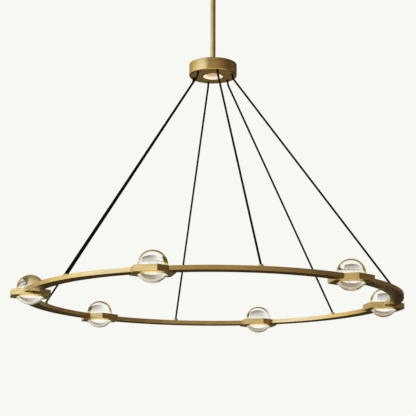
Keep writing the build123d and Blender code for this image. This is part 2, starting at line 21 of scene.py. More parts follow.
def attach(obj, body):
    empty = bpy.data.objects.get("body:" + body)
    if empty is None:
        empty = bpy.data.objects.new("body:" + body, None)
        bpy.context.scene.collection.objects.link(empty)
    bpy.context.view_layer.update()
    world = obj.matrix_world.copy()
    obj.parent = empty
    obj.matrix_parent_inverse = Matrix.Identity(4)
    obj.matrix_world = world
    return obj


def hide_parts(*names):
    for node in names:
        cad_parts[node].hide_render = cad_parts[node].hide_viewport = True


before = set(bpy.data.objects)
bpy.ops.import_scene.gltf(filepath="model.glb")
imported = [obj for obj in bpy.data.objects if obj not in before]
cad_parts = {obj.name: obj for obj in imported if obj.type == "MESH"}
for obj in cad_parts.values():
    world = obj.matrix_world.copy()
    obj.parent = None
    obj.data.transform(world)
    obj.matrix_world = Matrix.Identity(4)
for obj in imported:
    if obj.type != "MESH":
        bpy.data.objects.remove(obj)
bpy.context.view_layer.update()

Node, Socket, Tree = bpy.types.Node, bpy.types.NodeSocket, bpy.types.NodeTree
Material, Thing = bpy.types.Material, bpy.types.Object
Pair = tuple[float, float]
Triple = tuple[float, float, float]
Colour = Triple
Profile = list[Pair]
Stops = tuple[tuple[float, object], ...]

LOG = logging.getLogger("chandelier")
CHART = "lay"
MM = 0.001
UNIT: Pair = (0.0, 1.0)
FALLING: Pair = (1.0, 0.0)
BLACK: Colour = (0.0, 0.0, 0.0)
WHITE: Colour = (1.0, 1.0, 1.0)
BACKDROP: Colour = (0.930, 0.939, 0.896)
DOWN: Triple = (0.0, 0.0, -1.0)
UP = Vector((0.0, 0.0, 1.0))
MERGED = 1e-7
BEVEL_STEPS = 3
LIGHT_COUNT = 6
LIGHT_CIRCLE = 553.0 * MM
SETTING_FLATS = 114.0 * MM


class Body(Enum):
    """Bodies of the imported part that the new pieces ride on."""

    CEILING = "ceiling_mount"
    PENDANT = "pendant"


class Slot(Enum):
    """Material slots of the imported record."""

    BRASS = "brass"
    STEEL = "plated_steel"
    DRIVER = "driver_case"
    NYLON = "black_nylon"
    CORD = "black_cord"
    REFLECTOR = "white_reflector"
    LENS = "opal_lens"
    BOARD = "led_board"
    STRIP = "led_strip"
    SINK = "heat_sink"
    CRYSTAL = "crystal"
    GASKET = "clear_gasket"


class Sheet:
    """A shader node tree, with short calls that add and join its nodes."""

    def __init__(self, tree: Tree) -> None:
        """Keep the tree that the calls work on."""
        self.tree = tree

    def join(self, source: object, target: Socket) -> None:
        """Link a socket to a target, or set a plain value on the target.

        Args:
            source: an output socket, a number or a colour.
            target: input socket.
        """
        if isinstance(source, Socket):
            self.tree.links.new(source, target)
        elif isinstance(source, tuple) and len(target.default_value) == 4:
            target.default_value = (*source, 1.0)
        else:
            target.default_value = source

    def add(self, kind: str, values: dict[object, object], **settings: object) -> Node:
        """Add a node.

        Args:
            kind: Blender's name of the node's type, without the words ShaderNode.
            values: sockets, numbers or colours for its inputs, by the inputs' names or numbers.
            settings: properties to set on the node first.

        Returns:
            The new node.
        """
        node = self.tree.nodes.new("ShaderNode" + kind)
        for name, value in settings.items():
            setattr(node, name, value)
        for name, value in values.items():
            self.join(value, node.inputs[name])
        return node

    def maths(self, operation: str, *values: object) -> Socket:
        """Number worked out from others by one of Blender's operations."""
        return self.add("Math", dict(enumerate(values)), operation=operation).outputs[0]

    def plus(self, first: object, second: object) -> Socket:
        """Sum of two numbers."""
        return self.maths("ADD", first, second)

    def minus(self, first: object, second: object) -> Socket:
        """Difference of two numbers."""
        return self.maths("SUBTRACT", first, second)

    def times(self, *values: object) -> Socket:
        """Product of numbers."""
        return reduce(lambda first, second: self.maths("MULTIPLY", first, second), values)

    def larger(self, first: object, second: object) -> Socket:
        """Larger of two numbers."""
        return self.maths("MAXIMUM", first, second)

    def reach(self, x: Socket, y: Socket) -> Socket:
        """Distance from the Z axis, the root of x·x + y·y."""
        return self.maths("SQRT", self.plus(self.times(x, x), self.times(y, y)))

    def filtered(self, first: object, second: object) -> Socket:
        """Product of two colours, part by part."""
        return self.add("VectorMath", {0: first, 1: second}, operation="MULTIPLY").outputs[0]

    def dot(self, vector: Socket, direction: Triple) -> Socket:
        """Reach of a vector along a direction."""
        values = {0: vector, 1: direction}
        return self.add("VectorMath", values, operation="DOT_PRODUCT").outputs["Value"]

    def span(self, value: object, start: Pair = UNIT, end: Pair = UNIT, way: str = "LINEAR") -> Socket:
        """Number carried from a starting range over to an ending one, held at both ends."""
        values = dict(enumerate((value, *start, *end)))
        return self.add("MapRange", values, interpolation_type=way).outputs[0]

    def ease(self, value: object, start: Pair = UNIT, end: Pair = UNIT) -> Socket:
        """Number carried over as by span, which eases in and out between the ends."""
        return self.span(value, start, end, "SMOOTHSTEP")

    def blend(self, share: object, first: object, second: object) -> Socket:
        """Colour between a first and a second one, by the second one's share."""
        return self.add("Mix", {0: share, 6: first, 7: second}, data_type="RGBA").outputs[2]

    def noise(self, place: Socket, scale: object, detail: float) -> Socket:
        """Soft noise in space, 0 to 1, with a scale in waves per metre and a number of finer octaves."""
        return self.add("TexNoise", {"Vector": place, "Scale": scale, "Detail": detail}).outputs[0]

    def ramp(self, value: Socket, stops: Stops) -> Socket:
        """Colours along a range, with straight blends between its stops.

        Args:
            value: socket of the place in the range, 0 to 1.
            stops: places with a brightness or a colour, in rising order.

        Returns:
            Socket of the colour.
        """
        node = self.add("ValToRGB", {0: value})
        elements = node.color_ramp.elements
        while len(elements) < len(stops):
            elements.new(0.5)
        for element, (place, shade) in zip(elements, stops):
            element.position = place
            element.color = (*shade, 1.0) if isinstance(shade, tuple) else (shade, shade, shade, 1.0)
        return node.outputs["Color"]

    def place(self) -> Socket:
        """Object coordinates, which are the part's own frame."""
        return self.add("TexCoord", {}).outputs["Object"]

    def split(self, vector: Socket) -> list[Socket]:
        """The three parts of a vector."""
        return list(self.add("SeparateXYZ", {0: vector}).outputs)

    def chart(self) -> list[Socket]:
        """The parts of the piece's own chart: the share of the way round, and the row or the way along."""
        return self.split(self.add("UVMap", {}, uv_map=CHART).outputs[0])

    def group(self, tree: Tree, **values: float) -> list[Socket]:
        """Outputs of a node group that is placed with numbers for its named inputs."""
        return list(self.add("Group", values, node_tree=tree).outputs)


class Coat(Sheet):
    """Node tree of a new material, with a Principled shader on its output."""

    def __init__(self, name: str) -> None:
        """Start the material.

        Args:
            name: the material's name.
        """
        self.material = bpy.data.materials.new(name)
        self.material.use_nodes = True
        super().__init__(self.material.node_tree)
        self.tree.nodes.clear()
        self.shader = self.add("BsdfPrincipled", {})
        self.add("OutputMaterial", {"Surface": self.shader.outputs[0]})

    def feed(self, values: dict[str, object]) -> None:
        """Join sockets, numbers or colours to the shader's inputs of these names."""
        for name, value in values.items():
            self.join(value, self.shader.inputs[name])

    def emboss(self, height: Socket, depth: float, strength: float) -> None:
        """Raise a height of 0 to 1 on the normal, by a depth in metres and a share of the effect."""
        values = {"Strength": strength, "Distance": depth, "Height": height}
        self.feed({"Normal": self.add("Bump", values).outputs[0]})


@dataclass
class Effects:
    """Surface effects that several finishes share, as node groups that are built once."""

    outward_share: float = 0.7
    streak_share: float = 0.22
    brush_limits: Pair = (0.28, 0.72)
    brush_octaves: float = 3.0
    cloud_limits: Pair = (0.35, 0.68)
    cloud_octaves: float = 4.0
    grain_limits: Pair = (0.0, 0.75)

    @staticmethod
    def _open(
        name: str, inputs: tuple[str, ...], outputs: tuple[str, ...]
    ) -> tuple[Sheet, list[Socket], Node]:
        """Start a group of number sockets.

        Args:
            name: the group's name.
            inputs: names of its inputs.
            outputs: names of its outputs.

        Returns:
            Its sheet, its inputs' sockets and its output node.
        """
        tree = bpy.data.node_groups.new(name, "ShaderNodeTree")
        for names, way in ((inputs, "INPUT"), (outputs, "OUTPUT")):
            for socket in names:
                tree.interface.new_socket(socket, in_out=way, socket_type="NodeSocketFloat")
        given = tree.nodes.new("NodeGroupInput").outputs[: len(inputs)]
        return Sheet(tree), given, tree.nodes.new("NodeGroupOutput")

    @cached_property
    def brushed(self) -> Tree:
        """Brush lines that run round the upright axis.

        Noise is read at (x·along, y·along, (z + 0.7·r)·across), r being the distance from the Z axis. So
        it changes fast up a wall and outwards over a flat face, and slowly round the axis.

        Returns:
            Group with inputs Along and Across in waves per metre, and outputs Streaks and Lines, 0 to 1.
        """
        sheet, (along, across), result = self._open("brush_lines", ("Along", "Across"), ("Streaks", "Lines"))
        x, y, z = sheet.split(sheet.place())
        level = sheet.plus(z, sheet.times(sheet.reach(x, y), self.outward_share))
        for name, share in (("Streaks", self.streak_share), ("Lines", 1.0)):
            fast = sheet.times(across, share)
            lay = (sheet.times(x, along), sheet.times(y, along), sheet.times(level, fast))
            spot = sheet.add("CombineXYZ", dict(enumerate(lay))).outputs[0]
            grain = sheet.noise(spot, 1.0, self.brush_octaves)
            sheet.join(sheet.span(grain, self.brush_limits), result.inputs[name])
        return sheet.tree

    @cached_property
    def mottled(self) -> Tree:
        """Uneven clouds, as on aged or handled surfaces.

        Returns:
            Group with an input Scale in clouds per metre and an output Mask, 0 to 1.
        """
        sheet, (scale,), result = self._open("mottled_clouds", ("Scale",), ("Mask",))
        clouds = sheet.noise(sheet.place(), scale, self.cloud_octaves)
        sheet.join(sheet.ease(clouds, self.cloud_limits), result.inputs["Mask"])
        return sheet.tree

    @cached_property
    def moulded(self) -> Tree:
        """Fine grain of moulded, cast or coated surfaces.

        Returns:
            Group with an input Scale in grains per metre and an output Grain, 0 to 1.
        """
        sheet, (scale,), result = self._open("moulded_grain", ("Scale",), ("Grain",))
        cells = sheet.add("TexVoronoi", {"Vector": sheet.place(), "Scale": scale})
        sheet.join(sheet.span(cells.outputs["Distance"], self.grain_limits), result.inputs["Grain"])
        return sheet.tree


EFFECTS = Effects()


@dataclass(frozen=True)
class Finish:
    """A surface finish, which paints a material that has its name."""

    name: str

    def paint(self, coat: Coat) -> None:
        """Feed the shader of a coat."""
        raise NotImplementedError

    def material(self) -> Material:
        """Make the finish's material.

        Returns:
            The painted material.
        """
        coat = Coat(self.name)
        self.paint(coat)
        return coat.material


@dataclass(frozen=True)
class BrushedMetal(Finish):
    """Satin metal with fine brush lines and faint clouds under a thin lacquer."""

    light: Colour = (0.84, 0.595, 0.24)
    dark: Colour = (0.65, 0.43, 0.15)
    roughness: Pair = (0.22, 0.36)
    along: float = 14.0
    across: float = 1500.0
    clouds: float = 22.0
    cloud_share: float = 0.3
    streak_share: float = 0.6
    lacquer: float = 0.10
    lacquer_roughness: float = 0.18
    relief: Pair = (0.03 * MM, 0.35)

    def paint(self, coat: Coat) -> None:
        """Darken and roughen the metal along its brush lines and clouds.

        Args:
            coat: node tree of the material.
        """
        streaks, lines = coat.group(EFFECTS.brushed, Along=self.along, Across=self.across)
        clouds = coat.group(EFFECTS.mottled, Scale=self.clouds)[0]
        shade = coat.plus(coat.times(clouds, self.cloud_share), coat.times(streaks, self.streak_share))
        both = coat.plus(coat.times(streaks, 0.5), coat.times(lines, 0.5))
        coat.feed({
            "Base Color": coat.blend(shade, self.light, self.dark),
            "Roughness": coat.span(both, end=self.roughness),
            "Metallic": 1.0,
            "Coat Weight": self.lacquer,
            "Coat Roughness": self.lacquer_roughness,
        })
        coat.emboss(both, *self.relief)


@dataclass(frozen=True)
class LitBrass(BrushedMetal):
    """Brushed brass with painted light from the bore, an emission where that light would fall on it.

    By its chart's rows, that is the opening's wall and rim all round, and the cone where it leans to the
    front. A little painted light spills over the underside. The lights on one side get less, a painted shade.
    """

    painted_glow: Colour = (1.0, 0.90, 0.36)
    strength: float = 1.0
    rows: Triple = (7.0, 9.0, 10.0)
    lean: Triple = (-0.231, -0.973, 0.0)
    lean_range: Pair = (0.05, 0.13)
    painted_spill: float = 0.045
    spill_range: Pair = (0.96, 0.99)
    away: Triple = (0.866, -0.5, 0.0)
    away_range: Pair = (0.1, 0.4)
    away_share: float = 0.22

    def paint(self, coat: Coat) -> None:
        """Paint the brass, and paint light on its lit places as an emission.

        Args:
            coat: node tree of the material.
        """
        super().paint(coat)
        wall, cone, end = self.rows
        row = coat.chart()[1]
        normal = coat.add("TexCoord", {}).outputs["Normal"]
        leaning = coat.ease(coat.dot(normal, self.lean), self.lean_range)
        lit = coat.larger(coat.maths("LESS_THAN", row, cone), leaning)
        lit = coat.times(lit, coat.maths("GREATER_THAN", row, wall), coat.maths("LESS_THAN", row, end))
        lit = coat.larger(lit, coat.span(coat.dot(normal, DOWN), self.spill_range, (0.0, self.painted_spill)))
        falling = (self.strength, self.strength * self.away_share)
        strength = coat.ease(coat.dot(coat.place(), self.away), self.away_range, falling)
        # The emission is painted light from the bore, weaker on the far side as painted shade.
        coat.feed({"Emission Color": self.painted_glow, "Emission Strength": coat.times(lit, strength)})


@dataclass(frozen=True)
class Moulded(Finish):
    """Moulded, cast or coated surface with a fine grain, which may glow."""

    light: Colour
    dark: Colour
    roughness: Pair = (0.4, 0.55)
    grain: float = 900.0
    depth: float = 0.04 * MM
    strength: float = 0.3
    grains_per_cloud: float = 20.0
    glow: Colour = BLACK
    glow_strength: float = 0.0
    glow_dimmed: float = 0.9

    def paint(self, coat: Coat) -> None:
        """Raise the grain and tint the surface by clouds.

        Args:
            coat: node tree of the material.
        """
        grain = coat.group(EFFECTS.moulded, Scale=self.grain)[0]
        clouds = coat.group(EFFECTS.mottled, Scale=self.grain / self.grains_per_cloud)[0]
        coat.feed({
            "Base Color": coat.blend(clouds, self.light, self.dark),
            "Roughness": coat.span(grain, end=self.roughness),
        })
        if self.glow_strength > 0:
            dimmed = tuple(self.glow_dimmed * part for part in self.glow)
            glow = coat.blend(clouds, self.glow, dimmed)
            coat.feed({"Emission Color": glow, "Emission Strength": self.glow_strength})
        coat.emboss(grain, self.depth, self.strength)


@dataclass(frozen=True)
class LitCone(Finish):
    """White cone of a downlight with painted light from inside, an emission, and a bronzed rim at its mouth.

    The painted glow falls off from the mouth's level to the throat's, towards a darker brown as painted
    shade.
    Past the mouth's radius the rim has none.
    """

    glow: Colour = (1.0, 0.90, 0.70)
    deep: Colour = (0.42, 0.21, 0.10)
    deep_range: Pair = (0.35, 0.75)
    rim: Colour = (0.30, 0.21, 0.10)
    inside: Colour = (0.56, 0.50, 0.43)
    roughness: Pair = (0.35, 0.5)
    grain: float = 600.0
    relief: Pair = (0.02 * MM, 0.3)
    strength: float = 0.7
    mouth: Pair = (30.5 * MM, 30.8 * MM)
    levels: Pair = (-419.8 * MM, -405.3 * MM)

    def paint(self, coat: Coat) -> None:
        """Paint light into the cone by its depth, darker deeper in as painted shade, and paint the rim.

        Args:
            coat: node tree of the material.
        """
        grain = coat.group(EFFECTS.moulded, Scale=self.grain)[0]
        x, y, z = coat.split(coat.place())
        inside = coat.span(coat.reach(x, y), self.mouth, FALLING)
        deep = coat.ease(coat.span(z, self.levels), self.deep_range)
        coat.feed({
            "Base Color": coat.blend(inside, self.rim, self.inside),
            "Roughness": coat.span(grain, end=self.roughness),
            # Painted light: the cone glows, browner and darker towards the throat as painted shade.
            "Emission Color": coat.blend(deep, self.glow, self.deep),
            "Emission Strength": coat.times(inside, self.strength),
        })
        coat.emboss(grain, *self.relief)


@dataclass(frozen=True)
class ClearGlass(Finish):
    """Polished clear glass, with the faintest handling marks and a rim whose colour is a painted reflection
    of the brass under it, with a painted glow.

    Low on the dome the painted reflection is wide and dark on the side to the next light, and faint on the
    other side.
    """

    tint: Colour = WHITE
    marks: Colour = (0.97, 0.98, 0.975)
    index: float = 1.52
    roughness: Pair = (0.0, 0.015)
    clouds: float = 60.0
    rim: Colour = (0.30, 0.185, 0.010)
    rim_low: Colour = (0.009, 0.003, 0.0001)
    rim_shine: Colour = (0.34, 0.22, 0.03)
    rim_foot: Colour = (0.80, 0.50, 0.02)
    rim_start: Pair = (-1132.0 * MM, -1128.0 * MM)
    rim_seat: float = -1121.0 * MM
    rim_side: float = -1114.0 * MM
    rim_flank: float = -1107.0 * MM
    rim_crown: float = -1095.0 * MM
    rim_facing: Pair = (0.38, 0.49)
    rim_softness: float = 0.10
    rim_widening: float = 0.11
    rim_fading: float = 0.75
    painted_rim_glow: Colour = (1.0, 0.74, 0.14)
    glow_strength: Pair = (0.10, 0.07)
    dark_side: Pair = (21.0 * MM, 30.0 * MM)
    faint_side: Pair = (-18.0 * MM, -30.0 * MM)

    def paint(self, coat: Coat) -> None:
        """Clear the glass, and paint a reflection and a glow into its rim, by level and by the way on to the
        next light.

        Args:
            coat: node tree of the material.
        """
        clouds = coat.group(EFFECTS.mottled, Scale=self.clouds)[0]
        x, y, z = coat.split(coat.place())
        upper = coat.span(z, self.rim_start)
        foot = coat.ease(z, (self.rim_side, self.rim_seat))
        high = coat.ease(z, (self.rim_side, self.rim_crown))
        flank = coat.ease(z, (self.rim_crown, self.rim_flank))
        half_way = math.pi / LIGHT_COUNT
        angle = coat.maths("WRAP", coat.maths("ARCTAN2", y, x), half_way, -half_way)
        onward = coat.times(angle, LIGHT_CIRCLE)
        dark = coat.times(coat.ease(onward, self.dark_side), flank)
        faint = coat.times(coat.span(onward, self.faint_side), flank)
        facing = coat.add("LayerWeight", {}).outputs["Facing"]
        past = coat.minus(facing, coat.span(high, end=self.rim_facing))
        past = coat.maths("MULTIPLY_ADD", dark, self.rim_widening, past)
        outside = coat.minus(1.0, coat.add("NewGeometry", {}).outputs["Backfacing"])
        edge = coat.times(coat.ease(past, (0.0, self.rim_softness)), outside)
        rim = coat.times(edge, upper, coat.span(faint, end=(1.0, 1.0 - self.rim_fading)))
        # Painted reflection of the brass: dark low down and towards the next light, gold higher, bright at
        # the seat.
        painted_reflection = coat.blend(coat.minus(high, dark), self.rim_low, self.rim)
        painted_reflection = coat.blend(foot, painted_reflection, self.rim_foot)
        # Painted glow of the LED light along the rim.
        glow = coat.times(edge, coat.span(upper, end=self.glow_strength), coat.minus(1.0, dark))
        coat.feed({
            "Base Color": coat.blend(rim, coat.blend(clouds, self.tint, self.marks), painted_reflection),
            "Specular Tint": coat.blend(rim, WHITE, self.rim_shine),
            "Emission Color": self.painted_rim_glow,
            "Emission Strength": glow,
            "Roughness": coat.span(clouds, end=self.roughness),
            "IOR": self.index,
            "Transmission Weight": 1.0,
        })


@dataclass(frozen=True)
class BraidedSleeve(Finish):
    """Matt braided textile sleeve of a cord, two sets of strands that cross.

    With u round the cord and v along it, both in turns, the height is the larger of |sin| of the strands
    that climb to the left and to the right, the second ones lying a little lower.
    """

    yarn: Colour = (0.0045, 0.0042, 0.004)
    gap_shade: Colour = (0.0015, 0.0015, 0.0015)
    roughness: Pair = (0.95, 0.78)
    gloss: float = 0.1
    strands: float = 8.0
    pitch: float = 330.0
    lower: float = 0.8
    relief: Pair = (0.25 * MM, 0.8)

    def paint(self, coat: Coat) -> None:
        """Raise the strands, and paint shade into the gaps between them.

        Args:
            coat: node tree of the material.
        """
        around, along, _ = coat.chart()
        turns, steps = coat.times(around, self.strands), coat.times(along, self.pitch)
        left, right = (
            coat.maths("ABSOLUTE", coat.maths("SINE", coat.times(climb, math.pi)))
            for climb in (coat.plus(turns, steps), coat.minus(turns, steps))
        )
        height = coat.larger(left, coat.times(right, self.lower))
        # The gaps are darker as painted shade.
        coat.feed({
            "Base Color": coat.blend(height, self.gap_shade, self.yarn),
            "Roughness": coat.span(height, end=self.roughness),
            "Specular IOR Level": self.gloss,
        })
        coat.emboss(height, *self.relief)


@dataclass(frozen=True)
class DiodeStrip(Finish):
    """Lit strip with a row of diodes under a clear coat, brightest in the middle of each."""

    strip: Colour = (0.80, 0.72, 0.50)
    diode: Colour = (0.9, 0.85, 0.7)
    roughness: Pair = (0.5, 0.3)
    warm: Colour = (1.0, 0.82, 0.40)
    bright: Colour = (1.0, 0.86, 0.46)
    strength: float = 1.0
    count: float = 36.0
    glow_range: Pair = (0.12, 0.5)

    def paint(self, coat: Coat) -> None:
        """Light the strip by the distance from the nearest diode's middle.

        Args:
            coat: node tree of the material.
        """
        step = coat.maths("FRACT", coat.times(coat.chart()[0], self.count))
        glow = coat.ease(coat.maths("ABSOLUTE", coat.minus(step, 0.5)), self.glow_range, FALLING)
        coat.feed({
            "Base Color": coat.blend(glow, self.strip, self.diode),
            "Roughness": coat.span(glow, end=self.roughness),
            "Emission Color": coat.blend(glow, self.warm, self.bright),
            "Emission Strength": self.strength,
        })


class Palette:
    """Every finish of the chandelier, by material slot, and its two special brasses."""

    def __init__(self) -> None:
        """Make the materials."""
        zinc, alloy = (0.66, 0.66, 0.64), (0.55, 0.55, 0.56)
        silicone = ((0.95, 0.95, 0.93), (0.88, 0.88, 0.85))
        finishes = {
            Slot.BRASS: BrushedMetal("burnished_brass"),
            Slot.STEEL: BrushedMetal(
                "zinc_plate", zinc, (0.5, 0.5, 0.49), (0.3, 0.45), across=900.0, lacquer=0.0
            ),
            Slot.DRIVER: Moulded("driver_case", (0.74, 0.74, 0.72), (0.68, 0.68, 0.66)),
            Slot.NYLON: Moulded("black_nylon", (0.016, 0.016, 0.016), (0.010, 0.010, 0.010), (0.45, 0.6)),
            Slot.CORD: BraidedSleeve("black_braid"),
            Slot.REFLECTOR: LitCone("white_reflector"),
            Slot.LENS: Moulded(
                "opal_lens", (0.90, 0.78, 0.68), (0.86, 0.72, 0.62), (0.3, 0.4), 700.0, 0.02 * MM,
                glow=(1.0, 0.74, 0.52), glow_strength=0.55,
            ),
            Slot.BOARD: Moulded("led_board", (0.82, 0.81, 0.76), (0.74, 0.73, 0.68), (0.35, 0.5)),
            Slot.STRIP: DiodeStrip("diode_strip"),
            Slot.SINK: BrushedMetal(
                "heat_sink", alloy, (0.42, 0.42, 0.43), (0.35, 0.5), across=700.0, lacquer=0.0
            ),
            Slot.CRYSTAL: ClearGlass("clear_crystal"),
            Slot.GASKET: ClearGlass("clear_gasket", *silicone, 1.41, (0.25, 0.4)),
        }
        self.materials = {slot: finish.material() for slot, finish in finishes.items()}
        # Brass of the hub plate: rougher as a satin finish, and a little lighter as painted light from the
        # downlight.
        satin = BrushedMetal("satin_brass_painted_light", (0.84, 0.60, 0.26), (0.68, 0.46, 0.17), (0.42, 0.55))
        self.underside = satin.material()
        # Brass of the settings, with painted light from the bores.
        self.lit_brass = LitBrass("lit_brass").material()


def heading(angle: float) -> np.ndarray:
    """Level unit vector at an angle about Z, in degrees."""
    turn = math.radians(angle)
    return np.array([math.cos(turn), math.sin(turn), 0.0])


def band(inner: float, outer: float, low: float, top: float) -> Profile:
    """Profile of a plain band, with its radii and its levels."""
    return [(inner, low), (outer, low), (outer, top), (inner, top)]


def rounded(profile: Profile, radius: float | list[float], steps: int = 4) -> Profile:
    """Round the corners of a closed profile with arcs.

    At a corner, with unit vectors a and b to its neighbours and the half angle h between them, the arc
    starts radius/tan h along a. It is drawn as the quadratic curve from there over the corner to the same
    point on b. It takes up 0.45 of the shorter side at most.

    Args:
        profile: corners in order.
        radius: radius of the arcs, for all corners or one for each.
        steps: number of segments of an arc.

    Returns:
        Points of the rounded profile.
    """
    corners = np.array(profile)
    before = np.roll(corners, 1, axis=0) - corners
    after = np.roll(corners, -1, axis=0) - corners
    reach_before = np.linalg.norm(before, axis=1, keepdims=True)
    reach_after = np.linalg.norm(after, axis=1, keepdims=True)
    before, after = before / reach_before, after / reach_after
    cosine = np.sum(before * after, axis=1, keepdims=True)
    half_tangent = np.sqrt((1 - cosine) / (1 + cosine + 1e-9))
    wanted = np.array(radius, dtype=float).reshape(-1, 1)
    cut = np.minimum(wanted / half_tangent, 0.45 * np.minimum(reach_before, reach_after))
    start, end = corners + before * cut, corners + after * cut
    way = np.linspace(0.0, 1.0, steps + 1)[None, :, None]
    arcs = (1 - way) ** 2 * start[:, None] + 2 * way * (1 - way) * corners[:, None] + way**2 * end[:, None]
    return [tuple(point) for point in arcs.reshape(-1, 2)]


@dataclass
class Surface:
    """A mesh as arrays: points, faces of four corners, and a flat chart of each face's corners."""

    points: np.ndarray
    faces: np.ndarray
    chart: np.ndarray

    @staticmethod
    def grid(points: np.ndarray, wrap_rows: bool = False) -> "Surface":
        """Surface through a grid of points whose columns close on themselves.

        Row i and column j give the corner i, j. Each face takes corners i..i+1 and j..j+1. The chart is the
        share of the way round and the row's number.

        Args:
            points: array of rows, columns and 3 coordinates.
            wrap_rows: whether the last row joins the first.

        Returns:
            The surface.
        """
        rows, columns = points.shape[:2]
        steps = np.arange(rows if wrap_rows else rows - 1), np.arange(columns)
        row, column = (index.ravel() for index in np.meshgrid(*steps, indexing="ij"))
        corners = ((row, column), (row, column + 1), (row + 1, column + 1), (row + 1, column))
        faces = np.stack([(i % rows) * columns + j % columns for i, j in corners], axis=1)
        chart = np.stack([np.stack([j / columns, i.astype(float)], axis=1) for i, j in corners], axis=1)
        return Surface(points.reshape(-1, 3), faces, chart)

    @staticmethod
    def joined(surfaces: list["Surface"]) -> "Surface":
        """Put surfaces together as one.

        Args:
            surfaces: the surfaces.

        Returns:
            One surface with all their points and faces.
        """
        starts = np.cumsum([0] + [len(surface.points) for surface in surfaces[:-1]])
        return Surface(
            np.concatenate([surface.points for surface in surfaces]),
            np.concatenate([surface.faces + start for surface, start in zip(surfaces, starts)]),
            np.concatenate([surface.chart for surface in surfaces]),
        )

    @staticmethod
    def lathe(profile: Profile, segments: int, closed: bool = True) -> "Surface":
        """Solid of revolution about the Z axis.

        Point i, j stands at (r·cos t, r·sin t, z), with r and z of the profile's point i, and with
        t = 2·pi·j/segments.

        Args:
            profile: pairs of radius and height. A profile that isn't closed starts and ends on the axis.
            segments: number of steps round the axis.
            closed: whether the profile's last point joins its first.

        Returns:
            The surface.
        """
        radius, height = (part[:, None] for part in np.array(profile).T)
        turn = 2 * np.pi * np.arange(segments) / segments
        level = np.repeat(height, segments, axis=1)
        points = np.stack([radius * np.cos(turn), radius * np.sin(turn), level], axis=2)
        return Surface.grid(points, wrap_rows=closed)

    def moved(self, x: float, y: float, z: float) -> "Surface":
        """The surface, moved by x, y, z."""
        return Surface(self.points + np.array([x, y, z]), self.faces, self.chart)

    def turned(self, angle: float) -> "Surface":
        """The surface, turned about the Z axis by an angle in degrees."""
        c, s, _ = heading(angle)
        return Surface(self.points @ [[c, s, 0.0], [-s, c, 0.0], [0.0, 0.0, 1.0]], self.faces, self.chart)

    def repeated(self, count: int, first: float = 0.0) -> "Surface":
        """The surface and its copies, evenly spaced about the Z axis from a first angle in degrees."""
        return Surface.joined([self.turned(first + 360 * index / count) for index in range(count)])


def placed(name: str, data: bpy.types.ID) -> Thing:
    """Put a new object into the scene.

    Args:
        name: the object's name.
        data: its mesh, curve, light or camera.

    Returns:
        The object.
    """
    thing = bpy.data.objects.new(name, data)
    bpy.context.scene.collection.objects.link(thing)
    return thing


@dataclass
class Assembly:
    """A sub-assembly, which turns its surfaces into pieces that ride on the part's bodies."""

    palette: Palette

    def build(self) -> None:
        """Make and dress the sub-assembly's pieces."""
        raise NotImplementedError

    def piece(
        self,
        name: str,
        surface: Surface,
        slot: Slot,
        node: str,
        body: Body = Body.PENDANT,
        bevel: float = 0.0,
        crease: float = 35.0,
        special: Material | None = None,
    ) -> Thing:
        """Make a piece from a surface.

        Args:
            name: the piece's name.
            surface: its points, faces and chart.
            slot: its material slot.
            node: CAD node that it stands for.
            body: the body that it rides on.
            bevel: width of its rounded edges, in metres.
            crease: angle in degrees past which an edge is sharp.
            special: a material to use in place of the slot's usual one.

        Returns:
            The piece's object.
        """
        mesh = bpy.data.meshes.new(name)
        mesh.from_pydata(surface.points.tolist(), [], surface.faces.tolist())
        layer = mesh.uv_layers.new(name=CHART)
        layer.data.foreach_set("uv", surface.chart.astype(np.float32).ravel())
        work = bmesh.new()
        work.from_mesh(mesh)
        bmesh.ops.remove_doubles(work, verts=work.verts, dist=MERGED)
        bmesh.ops.recalc_face_normals(work, faces=work.faces)
        work.to_mesh(mesh)
        work.free()
        mesh.polygons.foreach_set("use_smooth", np.ones(len(mesh.polygons), dtype=bool))
        mesh.set_sharp_from_angle(angle=math.radians(crease))
        mesh.materials.append(special or self.palette.materials[slot])
        thing = placed(name, mesh)
        if bevel > 0:
            edge = thing.modifiers.new("rounded_edges", "BEVEL")
            edge.width = bevel
            edge.segments = BEVEL_STEPS
            edge.limit_method = "ANGLE"
            edge.angle_limit = math.radians(crease)
            edge.harden_normals = True
        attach(thing, body.value)
        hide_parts(node)
        LOG.info("%s: %d points, rides on %s", name, len(mesh.vertices), body.value)
        return thing

    def dress(self, slot: Slot, *nodes: str, special: Material | None = None) -> None:
        """Give CAD nodes a finish.

        Args:
            slot: material slot of the finish.
            nodes: names of the nodes.
            special: a material to use in place of the slot's usual one.
        """
        for node in nodes:
            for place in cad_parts[node].material_slots:
                place.material = special or self.palette.materials[slot]
            LOG.info("%s: dressed as %s", node, slot.value)


